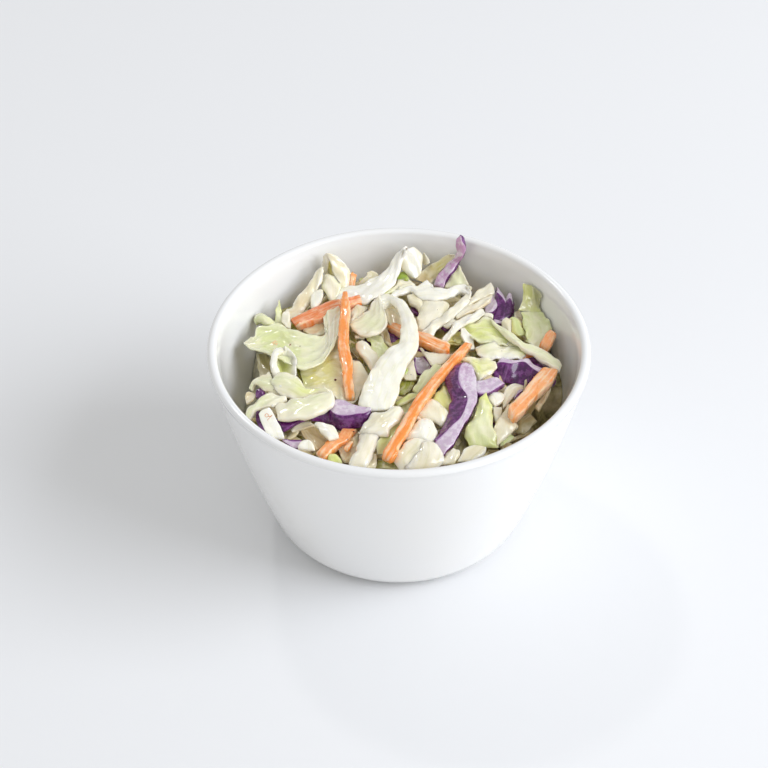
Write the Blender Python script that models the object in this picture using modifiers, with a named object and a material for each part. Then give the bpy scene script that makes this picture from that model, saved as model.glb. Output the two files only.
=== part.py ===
"""Coleslaw in a small flared white bowl: one solid for the bowl, one for the heap of shreds.

Metres, +Z up, origin under the middle of the bowl on the surface it stands on, -Y towards the viewer.
The heap is a lumpy core that fills the bowl, with the shreds that show fused on at true size.
"""

import math
import random

import bmesh
import bpy
import numpy
from mathutils import Vector

MM = 0.001

# Bowl: a cone with slightly bulging sides, a rounded foot and a thick round lip
RIM_RADIUS = 52.5 * MM
BOWL_HEIGHT = 60 * MM
FOOT_RADIUS = 35 * MM  # where the line of the side would meet the table
SIDE_BULGE = 1.2 * MM
FOOT_ROUNDING = 8 * MM
WALL = 2.8 * MM
FLOOR = 4 * MM
INNER_ROUNDING = 9 * MM
BOWL_STEPS = 52

# Heap: the level that its lower shreds lie on is a low dome
EDGE_LEVEL = 46.2 * MM
DOME_RISE = 3.6 * MM
DOME_RADIUS = 45 * MM
CORE_EDGE = 45 * MM  # where the core meets the bowl
CORE_GAP = 0.35 * MM  # between the food and the bowl
CORE_STEPS = 36
CORE_RINGS = 11
CORE_SIDE_STEPS = 3
CORE_SINK = 0.9 * MM  # the core's top lies this far under the middle of the shreds around it
CORE_REACH = 3.2 * MM  # how far around a point those shreds are taken
CORE_CLIMB = 2 * MM  # the smaller, the more the higher shreds count
CORE_MOST = 7 * MM  # shreds that stand this far over the dome don't count

# Shreds
WALL_MARGIN = 1.6 * MM  # from a shred's middle layer to the bowl
LEAF_THICKNESS = 1.3 * MM
RIB_THICKNESS = 2.1 * MM
PURPLE_THICKNESS = 2.2 * MM
CARROT_THICKNESS = 2.8 * MM
STATION_LENGTH = 4.2 * MM  # a shred has a cross-section about this often
END_TAPER = 0.55  # a shred's ends are this much of its width
LEAF_CUP = 0.13  # a leaf's middle is raised by this share of its width
LEAF_WAVE = 0.5 * MM
WAVE_LENGTH = 11 * MM
FILL_SHREDS = 44
FILL_RADIUS = 43 * MM
FILL_SEED = 9
SEWN_SLIT = 0.02 * MM  # slits between fused shreds that are narrower than this are closed

# A shred's place is given where the line to it from this eye point meets a level plane, in front of or behind it
EYE = Vector((0, -501.4, 483.7)) * MM
READING_LEVEL = 50 * MM

# Each shred: points (across, back, height above the heap's level) in mm, widths along it in mm, and roll in degrees
CARROTS = [
    ([(-15.7, 34.5, 6.5), (-16, 20, 6), (-16, 8, 5), (-14.6, -4, 4), (-13, -14, 2)], [2.8], 0),
    ([(-29.8, 19.8, 3.5), (-24, 24.3, 4), (-11, 31, 3.5)], [3.2], 0),
    ([(-13.8, 44, 7), (-14.4, 37, 2.5)], [1.8, 2.4], 0),
    ([(-4, 20, 1.5), (14, 9.3, 3.5)], [3.2], 0),
    ([(19.5, 11.5, 4.5), (10, -4, 5.5), (4, -16, 5.5), (-3, -36.5, 6)], [2.4, 3], 0),
    ([(43, 0, 6), (31, -20, 7)], [3.6], 10),
    ([(43.5, 17.5, 8), (40.3, 9.5, 3.5)], [2.6], 0),
    ([(-13, -24, 1.5), (-20.5, -35, 2.5)], [3.4], 0),
    ([(32, 5.5, 1), (39, 7, 1)], [2.6], 0),
]
PURPLES = [
    ([(10.8, 36.5, 3), (12.5, 42, 6.5), (16, 48, 10), (18.5, 53, 14), (18.4, 58.3, 18)], [3.2, 3, 2.4, 1.2], 20),
    ([(27.6, 33, 3), (29.6, 27.5, 2), (31.7, 31, 3)], [6.5], 80),
    ([(27.5, 0.8, 2), (31, -0.5, 2), (35.3, 0.3, 2), (38.5, -4.5, 2)], [7], 75),
    ([(18.5, 2.5, 5), (17.5, -4, 6), (19.6, -13, 6), (15, -26, 5.5), (11.2, -32.5, 5)], [4, 4, 3], 25),
    ([(20.5, -3, 4.5), (22.5, -7.5, 4), (28.3, -4.8, 4.5)], [2.6], 0),
    ([(-23, -19, 2), (-19, -16.8, 3.5), (-14.5, -18.3, 4.2), (-9, -17, 4.2)], [3, 4.6, 4.6, 4], 20),
    ([(-26.5, -20, 1), (-31, -21.5, 1), (-32, -25, 0.5)], [4], 0),
    ([(-37.5, -18, 2), (-38, -23, 1.5), (-35, -26.5, 1)], [4], 0),
    ([(4.8, 4.5, 1.5), (7.5, -1, 1.5)], [4.5], 0),
    ([(24.3, 26.5, 3), (27.5, 30, 3.5)], [4], 0),
    ([(31.5, -7, 2), (31.5, -13, 2)], [3], 0),
    ([(-31, -29.5, 2.5), (-26, -30.5, 2.5)], [4], 0),
]
RIBS = [
    (
        [(-7, 31, 4.5), (-1, 32, 6.5), (3.3, 27, 7.5), (4.3, 18, 7.5), (3, 9, 7), (-2.5, -3, 6.5), (-5.5, -13, 5)],
        [3.5, 4.3, 4.6, 5, 6.5, 8, 8.5],
        0,
    ),
    ([(-7.6, -26, 3.5), (-10, -38, 4)], [4], 0),
    ([(-10.5, 12, 2.5), (-6.5, -0.5, 2)], [3.4], 0),
    (
        [(-16, 33.5, 4), (-10, 36, 5), (-5.5, 40, 6.5), (-2, 46, 8.5), (1, 53, 11.5), (4, 53.5, 11), (4.4, 43, 4)],
        [5, 4.5, 4, 4, 4.5, 4],
        0,
    ),
    ([(0, 33, 4.5), (5, 35.5, 5.5), (8.5, 38, 6), (11, 35, 5.5), (18.5, 36.5, 6), (19.6, 33, 5.5), (16, 22.5, 4)], [3], 0),
    ([(20.3, 32, 4), (26.3, 37.3, 5.5)], [3], 0),
    ([(18.3, 27.5, 4), (25.8, 33.2, 5.5)], [3], 0),
    ([(26, 29.5, 4.5), (21, 26.5, 5.5), (16.5, 21.5, 5.5), (13, 14, 3)], [2.4], 0),
    ([(25.5, 23.5, 5), (35, 12.5, 6), (44, 2.8, 6)], [2.8, 3.2, 3.4], 0),
    ([(30.3, 16.5, 3), (30.5, 22, 5.5), (33, 22.5, 5.5), (35, 17, 3)], [2.4], 0),
    ([(-34, -1, 3), (-34, 6, 5), (-32, 9.5, 5.5), (-30, 6, 5), (-29.3, -0.5, 3)], [2.6], 0),
    ([(-24, -9.6, 3.5), (-19.2, -9.4, 4.5), (-18.4, -12.4, 5), (-22, -15.5, 5.5), (-34, -17.5, 5)], [2.5, 3.4, 5, 6, 5], 0),
    ([(-40.6, -19, 4), (-40, -15, 5), (-36.5, -12, 5), (-32, -12.5, 4)], [2.6], 0),
    ([(-36.3, -16, 6), (-32.5, -27.5, 6.5)], [3.8], 0),
    ([(33, -5.5, 2), (29.8, -8, 2.5), (29, -13, 2)], [3], 0),
    ([(18, -34.5, 3.5), (23, -32, 3.5)], [3.4], 0),
    ([(14, -36.5, 3), (15, -32, 3)], [3.2], 0),
    ([(7, -21, 3.5), (7.5, -28, 3.5)], [5], 0),
    ([(-21.8, -22.8, 3.5), (-18, -28, 3.5)], [2, 4], 0),
    ([(-24.3, -29, 3), (-23.8, -33, 3)], [4.2], 0),
    ([(-23.8, 34.3, 5), (-24.2, 28.8, 3)], [2.8], 0),
]
LEAVES = [
    ([(-43, 12, 6), (-37, 13.5, 6), (-30, 12.5, 5), (-22, 9, 4)], [3, 9, 10, 8], 0),
    ([(-25, 4, 3.5), (-20.5, 10, 5), (-18.8, 18, 5.5), (-17.8, 26.5, 5)], [4, 7, 6, 3], 10),
    ([(-35, -4, 3.5), (-30, -5, 4.5), (-26, -9.5, 3.5)], [5, 7.5, 3], 0),
    ([(-40.3, -8, 2.5), (-38.5, -5, 4), (-35.5, -4, 3)], [2, 4, 5], 0),
    ([(-37.5, 7, 1), (-37, -2, 1)], [5], 0),
    ([(-31.8, 24, 3), (-28, 32, 6), (-25, 40, 9), (-22.8, 46, 11.5)], [3.5, 5.5, 5, 1.5], 0),
    ([(-20.8, 51.5, 13.5), (-17.5, 46, 10.5), (-16.2, 40.5, 8), (-17.3, 35.5, 4)], [1.5, 4.5, 4.5, 4], 0),
    ([(-20.3, 41, 6.5), (-18.8, 35.5, 3)], [4], 0),
    ([(-34.3, 30.5, 6.5), (-34, 21, 2.5)], [0.8, 2.6], 0),
    ([(-39.8, 22, 5), (-36.5, 20, 2.5)], [4.5], 0),
    ([(9, 50, 9.5), (9, 41, 3.5)], [7, 8], 0),
    ([(17.5, 46, 8.5), (17, 38, 3.5)], [3, 8], 0),
    ([(-8.3, 44, 7.5), (-8, 38, 3)], [3.5], 0),
    ([(-4.5, 34, 3), (-1, 37.8, 4.5), (3.5, 39, 3)], [3], 0),
    ([(12, 31, 4), (8.5, 24, 3.5), (7.5, 16, 1.5)], [11, 9, 4], 0),
    ([(-8, 30, 3), (-8, 24, 3.5), (-9, 16, 1.5)], [4, 10, 5], 0),
    ([(18.5, 19, 3), (23, 20, 4.5), (30, 13, 2.5)], [4, 9, 4], 0),
    ([(20, 9, 2), (26, 9.8, 3.5), (33, 8, 2)], [5, 7, 4], 0),
    ([(18.5, 4.5, 2), (22.5, 1.5, 3), (22, -4.5, 2)], [4, 7, 3], 0),
    ([(38.8, 38, 11.5), (38.7, 29, 6), (38, 23, 1.5)], [6.2], 0),
    ([(38.3, 26, 6.5), (39.3, 19, 5.5), (38, 12, 2.5)], [5.5, 6.5, 5], 0),
    ([(23.5, -9.5, 6), (22.5, -16, 5.5), (21.5, -24, 5), (22.5, -31.5, 3)], [1, 5, 8, 6], 0),
    ([(26.5, -8.5, 3), (26.8, -13.5, 2)], [3.4], 0),
    ([(26.8, -15.5, 3), (25.8, -21, 2.5)], [2.8], 0),
    ([(29.5, -15.5, 3), (27.5, -22, 4), (28, -27.5, 2.5)], [2.5, 4.5, 3], 0),
    ([(35.5, -18, 1), (34, -25, 1)], [6], 0),
    ([(8.5, -13, 2), (10, -20.5, 3)], [5, 6.5], 0),
    ([(2.5, -33, 3.5), (9, -34, 3.5)], [7, 8], 0),
    ([(12, -4, 2), (12.5, -16, 1.5)], [4], 0),
    ([(-1, -13.5, 2), (5, -10.5, 2)], [3.4], 0),
    ([(9, 0, 1.5), (5, -8, 2)], [5], 0),
    ([(-5.5, -15.5, 4), (-6.5, -26.5, 3)], [9, 7], 0),
    ([(-20, 5, 1.5), (-20.5, -9, 2)], [8, 9], 0),
    ([(-11.5, 3, 1.5), (-11, -12, 2)], [4.5], 0),
    ([(-25, -23.5, 2), (-21, -28.5, 2)], [4], 0),
    ([(-8.5, 15, 1), (-3.5, 6, 1)], [5], 0),
]


def clear_scene():
    for old in list(bpy.data.objects):
        bpy.data.objects.remove(old)


def new_collection(name, helper=False):
    made = bpy.data.collections.new(name)
    made.hide_render = helper
    bpy.context.scene.collection.children.link(made)
    return made


def material(name, colour, roughness):
    made = bpy.data.materials.new(name)
    made.use_nodes = True
    shader = made.node_tree.nodes["Principled BSDF"]
    shader.inputs["Base Color"].default_value = (*colour, 1)
    shader.inputs["Roughness"].default_value = roughness
    shader.inputs["Metallic"].default_value = 0
    return made


def outer_radius(z):
    """Outside of the bowl's side at height z: a straight slope with a shallow bulge."""
    share = min(max(z / BOWL_HEIGHT, 0), 1)
    return FOOT_RADIUS + (RIM_RADIUS - FOOT_RADIUS) * share + SIDE_BULGE * 4 * share * (1 - share)


def inner_radius(z):
    return outer_radius(z) - WALL


def arc(centre, radius, start, end, steps):
    """Points (r, z) on a circle in the profile's plane, between two angles in degrees."""
    angles = [math.radians(start + (end - start) * k / steps) for k in range(steps + 1)]
    return [(centre[0] + radius * math.cos(a), centre[1] + radius * math.sin(a)) for a in angles]


def low_corner(radius_at, floor, rounding, steps):
    """The arc that joins a level floor to a side that leans out, from the floor up."""
    lean = math.atan2(radius_at(floor + rounding) - radius_at(floor), rounding)
    touch = floor + rounding * (1 - math.sin(lean))
    centre = (radius_at(touch) - rounding * math.cos(lean), floor + rounding)
    return arc(centre, rounding, -90, -math.degrees(lean), steps)


def side_points(radius_at, low, high, steps):
    heights = [low + (high - low) * k / steps for k in range(steps + 1)]
    return [(radius_at(z), z) for z in heights]


def turned(name, profile, steps, collection):
    """A solid of revolution from a profile of (r, z), listed up the inside and down the outside."""
    mesh = bpy.data.meshes.new(name)
    points = [(r, 0, z) for r, z in profile]
    mesh.from_pydata(points, [(k, k + 1) for k in range(len(points) - 1)], [])
    obj = bpy.data.objects.new(name, mesh)
    collection.objects.link(obj)
    screw = obj.modifiers.new("turn", "SCREW")
    screw.steps = screw.render_steps = steps
    screw.use_merge_vertices = True
    screw.merge_threshold = 0.02 * MM
    return obj


def make_bowl(collection):
    lip = WALL / 2
    lip_centre = (RIM_RADIUS - lip, BOWL_HEIGHT - lip)
    inside = [(0, FLOOR)] + low_corner(inner_radius, FLOOR, INNER_ROUNDING, 4)
    inside += side_points(inner_radius, FLOOR + INNER_ROUNDING, BOWL_HEIGHT - 2 * lip, 5)
    rim = arc(lip_centre, lip, 165, 0, 5)
    outside = side_points(outer_radius, FOOT_ROUNDING, BOWL_HEIGHT - 2 * lip, 5)[::-1]
    foot = low_corner(outer_radius, 0, FOOT_ROUNDING, 4)[::-1]
    bowl = turned("bowl", inside + rim + outside + foot + [(0, 0)], BOWL_STEPS, collection)
    bowl.data.materials.append(material("white glaze", (0.86, 0.86, 0.85), 0.15))
    return bowl


def heap_level(x, y):
    """Height of the dome that the lower shreds lie on."""
    reach = math.hypot(x, y) / DOME_RADIUS
    return EDGE_LEVEL + DOME_RISE * (1 - reach * reach)


def core_radius(z):
    return inner_radius(z) - CORE_GAP / math.cos(math.pi / CORE_STEPS)


def core_profile():
    """A flat top, out to the bowl's inside less the gap, and down that to the bowl's floor."""
    low = FLOOR + CORE_GAP
    top = [(core_radius(CORE_EDGE) * k / CORE_RINGS, CORE_EDGE) for k in range(CORE_RINGS)]
    side = side_points(core_radius, low + INNER_ROUNDING, CORE_EDGE, CORE_SIDE_STEPS)[::-1]
    foot = low_corner(core_radius, low, INNER_ROUNDING, CORE_SIDE_STEPS)[::-1]
    return top + side + foot + [(0, low)]


def make_core(shred_points, collection):
    """The filling under the shreds, whose top follows them, a little under their middles."""
    core = solid_copy(turned("slaw", core_profile(), CORE_STEPS, collection), collection)
    counted = [point for point in shred_points if point.z < heap_level(point.x, point.y) + CORE_MOST]
    heights = numpy.array([point.z for point in counted])
    places = numpy.array([point.xy for point in counted])
    limit = inner_radius(CORE_EDGE) * (1 - 0.5 / CORE_RINGS)
    for vertex in core.data.vertices:
        if vertex.co.z < CORE_EDGE - 0.1 * MM or vertex.co.xy.length > limit:
            continue
        away = numpy.linalg.norm(places - numpy.array(vertex.co.xy), axis=1)
        weights = numpy.exp((heights - EDGE_LEVEL) / CORE_CLIMB - (away / CORE_REACH) ** 2)
        vertex.co.z = max((weights * heights).sum() / weights.sum() - CORE_SINK, CORE_EDGE)
    return core


def solid_copy(obj, collection):
    """The object with its modifiers applied, in place of it."""
    graph = bpy.context.evaluated_depsgraph_get()
    mesh = bpy.data.meshes.new_from_object(obj.evaluated_get(graph))
    name = obj.name
    bpy.data.objects.remove(obj)
    made = bpy.data.objects.new(name, mesh)
    collection.objects.link(made)
    return made


def on_heap(across, back, lift):
    """The point at this height over the heap's level that is seen at the read plan position."""
    read = Vector((across * MM, back * MM, READING_LEVEL))
    point = read.copy()
    for _ in range(8):
        z = heap_level(point.x, point.y) + lift * MM
        point = EYE + (read - EYE) * ((z - EYE.z) / (read.z - EYE.z))
    return point


def between(values, share):
    """A value at this share of the way along evenly spaced values, smoothly joined."""
    if len(values) == 1:
        return values[0]
    place = share * (len(values) - 1)
    k = min(int(place), len(values) - 2)
    t = place - k
    before, start, end = values[max(k - 1, 0)], values[k], values[k + 1]
    after = values[min(k + 2, len(values) - 1)]
    leave, arrive = (end - before) * 0.5, (after - start) * 0.5
    return (
        start * (2 * t**3 - 3 * t**2 + 1)
        + leave * (t**3 - 2 * t**2 + t)
        + end * (3 * t**2 - 2 * t**3)
        + arrive * (t**3 - t**2)
    )


def kept_inside(point):
    """The point, moved towards the axis if it would come too near the bowl's wall."""
    reach = math.hypot(point.x, point.y)
    most = inner_radius(point.z) - WALL_MARGIN
    if point.z < BOWL_HEIGHT + 1 * MM and reach > most:
        point.x *= most / reach
        point.y *= most / reach
    return point


def add_shred(name, path, widths, thickness, roll, collection, leafy=False):
    """A strip along a smooth path: a grid that is bent to the path, cut into triangles and given its thickness.

    A leaf has one more row of points down its middle, is cupped and has a wave along each edge.
    """
    length = sum((b - a).length for a, b in zip(path, path[1:]))
    stations = max(2, round(length / STATION_LENGTH))
    sheet = bmesh.new()
    bmesh.ops.create_grid(sheet, x_segments=stations, y_segments=2 if leafy else 1, size=1)
    tilt = math.radians(roll)
    for vertex in sheet.verts:
        share, side = (vertex.co.x + 1) / 2, vertex.co.y
        here = between(path, share)
        along = (between(path, min(share + 0.02, 1)) - between(path, max(share - 0.02, 0))).normalized()
        up = (Vector((0, 0, 1)) - along * along.z).normalized()
        across = up.cross(along)
        reach = between(widths, share) * MM / 2
        if vertex.is_boundary and min(share, 1 - share) < 0.01:
            reach *= END_TAPER
        rise = 0
        if leafy:
            wave = math.sin(share * length / WAVE_LENGTH * math.tau + side)
            rise = LEAF_CUP * 2 * reach * (1 - side * side) + LEAF_WAVE * side * wave
        offset = (across * math.cos(tilt) + up * math.sin(tilt)) * side * reach
        normal = up * math.cos(tilt) - across * math.sin(tilt)
        vertex.co = kept_inside(here + offset + normal * rise)
    bmesh.ops.triangulate(sheet, faces=sheet.faces)
    mesh = bpy.data.meshes.new(name)
    sheet.to_mesh(mesh)
    sheet.free()
    obj = bpy.data.objects.new(name, mesh)
    collection.objects.link(obj)
    solidify = obj.modifiers.new("thickness", "SOLIDIFY")
    solidify.thickness = thickness
    solidify.offset = 0
    return obj


def add_table(kind, table, thickness, collection):
    for number, (points, widths, roll) in enumerate(table):
        path = [on_heap(*point) for point in points]
        add_shred(f"{kind}_{number}", path, widths, thickness, roll, collection, leafy=kind == "leaf")


def add_fill(collection):
    """Short shreds scattered evenly over the core, in a sunflower spiral with a seeded heading."""
    draw = random.Random(FILL_SEED)
    for number in range(FILL_SHREDS):
        reach = FILL_RADIUS * math.sqrt((number + 0.5) / FILL_SHREDS)
        turn = number * math.radians(137.5)
        middle = Vector((reach * math.cos(turn), reach * math.sin(turn), 0))
        heading = draw.uniform(0, math.pi)
        half = draw.uniform(5, 8) * MM
        way = Vector((math.cos(heading), math.sin(heading), 0))
        path = [middle - way * half, middle, middle + way * half]
        for point, lift in zip(path, (0, 2, 0)):
            point.z = heap_level(point.x, point.y) + lift * MM
        width = draw.uniform(3, 5)
        add_shred(f"fill_{number}", path, [width], LEAF_THICKNESS, draw.uniform(-15, 15), collection)


def fused(core, shreds):
    """The core and its shreds as one closed solid."""
    union = core.modifiers.new("fuse", "BOOLEAN")
    union.operation = "UNION"
    union.operand_type = "COLLECTION"
    union.collection = shreds
    union.solver = "MANIFOLD"
    made = solid_copy(core, core.users_collection[0])
    for obj in list(shreds.objects):
        bpy.data.objects.remove(obj)
    bpy.data.collections.remove(shreds)
    return made


def shells_of(mesh):
    """The mesh's connected shells, each a list of faces."""
    left, shells = set(mesh.faces), []
    while left:
        todo, shell = [left.pop()], []
        while todo:
            face = todo.pop()
            shell.append(face)
            for edge in face.edges:
                for other in edge.link_faces:
                    if other in left:
                        left.remove(other)
                        todo.append(other)
        shells.append(shell)
    return shells


def keep_outer_shell(obj):
    """Fills the hollows that fusing has sealed, and drops loose scraps, by keeping the largest shell alone.

    Hair-thin slits are sewn up first, because one may be all that opens a hollow.
    """
    mesh = bmesh.new()
    mesh.from_mesh(obj.data)
    bmesh.ops.remove_doubles(mesh, verts=mesh.verts, dist=SEWN_SLIT)
    shells = sorted(shells_of(mesh), key=lambda shell: sum(face.calc_area() for face in shell))
    scraps = [face for shell in shells[:-1] for face in shell]
    bmesh.ops.delete(mesh, geom=scraps, context="FACES")
    bmesh.ops.triangulate(mesh, faces=mesh.faces)
    mesh.to_mesh(obj.data)
    mesh.free()


def make_slaw(collection):
    shreds = new_collection("shreds", helper=True)
    add_table("leaf", LEAVES, LEAF_THICKNESS, shreds)
    add_table("rib", RIBS, RIB_THICKNESS, shreds)
    add_table("purple", PURPLES, PURPLE_THICKNESS, shreds)
    add_table("carrot", CARROTS, CARROT_THICKNESS, shreds)
    add_fill(shreds)
    solids = [solid_copy(shred, shreds) for shred in list(shreds.objects)]
    shred_points = [vertex.co for solid in solids for vertex in solid.data.vertices]
    slaw = fused(make_core(shred_points, collection), shreds)
    slaw.name = slaw.data.name = "slaw"
    keep_outer_shell(slaw)
    slaw.data.materials.clear()
    slaw.data.materials.append(material("dressed cabbage", (0.80, 0.79, 0.62), 0.35))
    return slaw


def main():
    clear_scene()
    model = new_collection("coleslaw")
    make_bowl(model)
    make_slaw(model)


main()
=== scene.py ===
# Coleslaw in a small flared white bowl.
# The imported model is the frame. Every shred, the dressing, the pepper and the glazed bowl are made here,
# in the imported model's own metres: +Z up, origin under the middle of the bowl, -Y towards the camera.
import math

import bpy
import numpy as np
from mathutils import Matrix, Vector
from mathutils.bvhtree import BVHTree


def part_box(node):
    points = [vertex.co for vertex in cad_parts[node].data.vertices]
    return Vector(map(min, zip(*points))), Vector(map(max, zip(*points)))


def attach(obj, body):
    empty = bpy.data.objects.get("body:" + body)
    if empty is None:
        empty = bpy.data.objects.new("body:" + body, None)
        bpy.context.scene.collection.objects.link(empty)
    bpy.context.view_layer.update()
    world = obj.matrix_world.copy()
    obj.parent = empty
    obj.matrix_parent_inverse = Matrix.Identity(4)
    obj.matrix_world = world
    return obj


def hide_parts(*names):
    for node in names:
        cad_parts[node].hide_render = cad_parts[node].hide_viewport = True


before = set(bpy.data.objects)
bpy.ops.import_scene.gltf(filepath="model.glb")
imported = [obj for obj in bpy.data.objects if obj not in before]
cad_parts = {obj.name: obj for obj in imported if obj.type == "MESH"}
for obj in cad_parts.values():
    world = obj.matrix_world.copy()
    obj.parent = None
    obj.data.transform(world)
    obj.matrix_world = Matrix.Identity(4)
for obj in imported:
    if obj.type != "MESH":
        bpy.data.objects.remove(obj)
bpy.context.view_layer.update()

mm = 0.001
fullTurn = 2 * math.pi

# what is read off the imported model
slawLow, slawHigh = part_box("slaw")
bowlLow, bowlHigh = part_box("bowl")
rimRadius = bowlHigh.x
bowlHeight = bowlHigh.z


# ---- colours ------------------------------------------------------------


def linear(red, green, blue):
    # a screen colour of 0 to 255 as linear light: (c / 255) to the power 2.2
    return tuple((c / 255) ** 2.2 for c in (red, green, blue))


palette = {
    "bright": linear(254, 249, 234),
    "white": linear(247, 239, 215),
    "cream": linear(240, 230, 197),
    "beige": linear(231, 212, 171),
    "tan": linear(217, 193, 146),
    "shade": linear(172, 160, 116),
    "pale": linear(234, 235, 192),
    "green": linear(217, 223, 158),
    "lime": linear(223, 228, 146),
    "sun": linear(231, 236, 142),
    "straw": linear(228, 217, 136),
    "sage": linear(207, 208, 134),
    "olivePale": linear(208, 207, 136),
    "fresh": linear(176, 202, 88),
    "leaf": linear(168, 174, 74),
    # olive is painted shade: the colour of the dark gaps between shreds
    "olive": linear(148, 140, 66),
    "orange": linear(252, 152, 68),
    # deep is a darker orange: some fill carrots at random, and painted shade on two pieces that lie under others
    "deep": linear(242, 132, 66),
    "milky": linear(252, 172, 112),
    "lilac": linear(202, 180, 200),
    "mauve": linear(198, 152, 190),
    "grey": linear(178, 162, 172),
}


# ---- shader nodes -------------------------------------------------------


# a shader socket, on which + - * / ** each add a Math node
class Wire:
    def __init__(self, shade, socket):
        self.shade = shade
        self.socket = socket

    def maths(self, operation, first, second):
        return self.shade.node("ShaderNodeMath", {"operation": operation}, {0: first, 1: second})

    def __add__(self, other):
        return self.maths("ADD", self, other)

    def __sub__(self, other):
        return self.maths("SUBTRACT", self, other)

    def __mul__(self, other):
        return self.maths("MULTIPLY", self, other)

    def __truediv__(self, other):
        return self.maths("DIVIDE", self, other)

    def __pow__(self, other):
        return self.maths("POWER", self, other)

    def __rsub__(self, other):
        return self.maths("SUBTRACT", other, self)

    def __rtruediv__(self, other):
        return self.maths("DIVIDE", other, self)

    __radd__ = __add__
    __rmul__ = __mul__


# one material's nodes
class Shade:
    def __init__(self, name, constants):
        self.material = bpy.data.materials.new(name)
        self.material.use_nodes = True
        self.tree = self.material.node_tree
        self.shader = self.tree.nodes["Principled BSDF"]
        for socket, value in constants.items():
            self.shader.inputs[socket].default_value = value

    # any node: its type, the settings that are set first, the values or links of its sockets
    def node(self, kind, settings, inputs, output=0):
        made = self.tree.nodes.new(kind)
        for key, value in settings.items():
            setattr(made, key, value)
        for key, value in inputs.items():
            self.feed(made.inputs[key], value)
        return Wire(self, made.outputs[output])

    def feed(self, socket, value):
        if isinstance(value, Wire):
            self.tree.links.new(value.socket, socket)
        else:
            socket.default_value = value

    def set(self, socket, value):
        self.feed(self.shader.inputs[socket], value)

    def place(self):
        return self.node("ShaderNodeTexCoord", {}, {}, "Object")

    def attribute(self, name, output="Color"):
        return self.node("ShaderNodeAttribute", {"attribute_name": name}, {}, output)

    # the piece's own UV map, stretched along and across the shred
    def strip(self, along, across):
        uv = self.node("ShaderNodeUVMap", {"uv_map": "strip"}, {})
        settings = {"vector_type": "POINT"}
        return self.node("ShaderNodeMapping", settings, {"Vector": uv, "Scale": (along, across, 1)})

    def noise(self, vector, scale, detail=2.0, rough=0.5, warp=0.0):
        inputs = {"Vector": vector, "Scale": scale, "Detail": detail, "Roughness": rough, "Distortion": warp}
        return self.node("ShaderNodeTexNoise", {}, inputs)

    # 0 below low, 1 above high, and a smooth step between
    def step(self, value, low, high, start=0.0, end=1.0):
        inputs = {"Value": value, "From Min": low, "From Max": high, "To Min": start, "To Max": end}
        return self.node("ShaderNodeMapRange", {"interpolation_type": "SMOOTHSTEP"}, inputs)

    def mix(self, factor, first, second, blend="MIX"):
        settings = {"data_type": "RGBA", "blend_type": blend, "clamp_factor": True}
        rgba = [x if isinstance(x, Wire) else (*x, 1.0) for x in (first, second)]
        return self.node("ShaderNodeMix", settings, {0: factor, 6: rgba[0], 7: rgba[1]}, 2)

    def bump(self, height, strength, distance):
        inputs = {"Height": height, "Strength": strength, "Distance": distance}
        self.set("Normal", self.node("ShaderNodeBump", {}, inputs))


cabbageLook = {
    "veinsAlong": 0.7,  # the pattern's pitch along and across a shred, in cycles a centimetre
    "veinsAcross": 10.0,
    "veinDepth": 0.3 * mm,
    "lumpScale": 380.0,
    "filmScale": 1300.0,
    "wetRoughness": 0.12,
    "dryRoughness": 0.34,
    "dressing": linear(251, 243, 219),
}


def cabbageMaterial(name):
    look = cabbageLook
    s = Shade(name, {
        "Subsurface Weight": 0.55, "Subsurface Radius": (0.75, 0.8, 1.0), "Subsurface Scale": 0.0016,
        "Coat Weight": 0.9, "Coat Roughness": 0.06, "IOR": 1.4,
    })
    veins = s.noise(s.strip(look["veinsAlong"], look["veinsAcross"]), 1.0, 4.0, 0.6, 0.4)
    lumps = s.noise(s.place(), look["lumpScale"], 2.0, 0.5)
    cloud = s.noise(s.place(), 170.0, 2.0, 0.5)
    film = s.noise(s.place(), look["filmScale"], 2.0, 0.5)
    tone = s.attribute("tone")
    deep = s.mix(1.0, tone, (0.84, 0.85, 0.62), "MULTIPLY")
    veined = s.mix(s.step(veins, 0.26, 0.5, 0.6, 0.0), tone, deep)
    paler = s.mix(s.step(veins, 0.55, 0.75, 0.0, 0.5), veined, look["dressing"])
    smear = s.step(cloud * 0.7 + lumps * 0.3, 0.5, 0.62)
    s.set("Base Color", s.mix(smear * 0.4, paler, look["dressing"]))
    wet = s.step(lumps * 0.4 + cloud * 0.6, 0.38, 0.6)
    s.set("Roughness", look["dryRoughness"] - wet * (look["dryRoughness"] - look["wetRoughness"]))
    s.bump(veins * 0.55 + lumps * 0.8 + film * 0.22, 0.45, look["veinDepth"])
    return s.material


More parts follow.
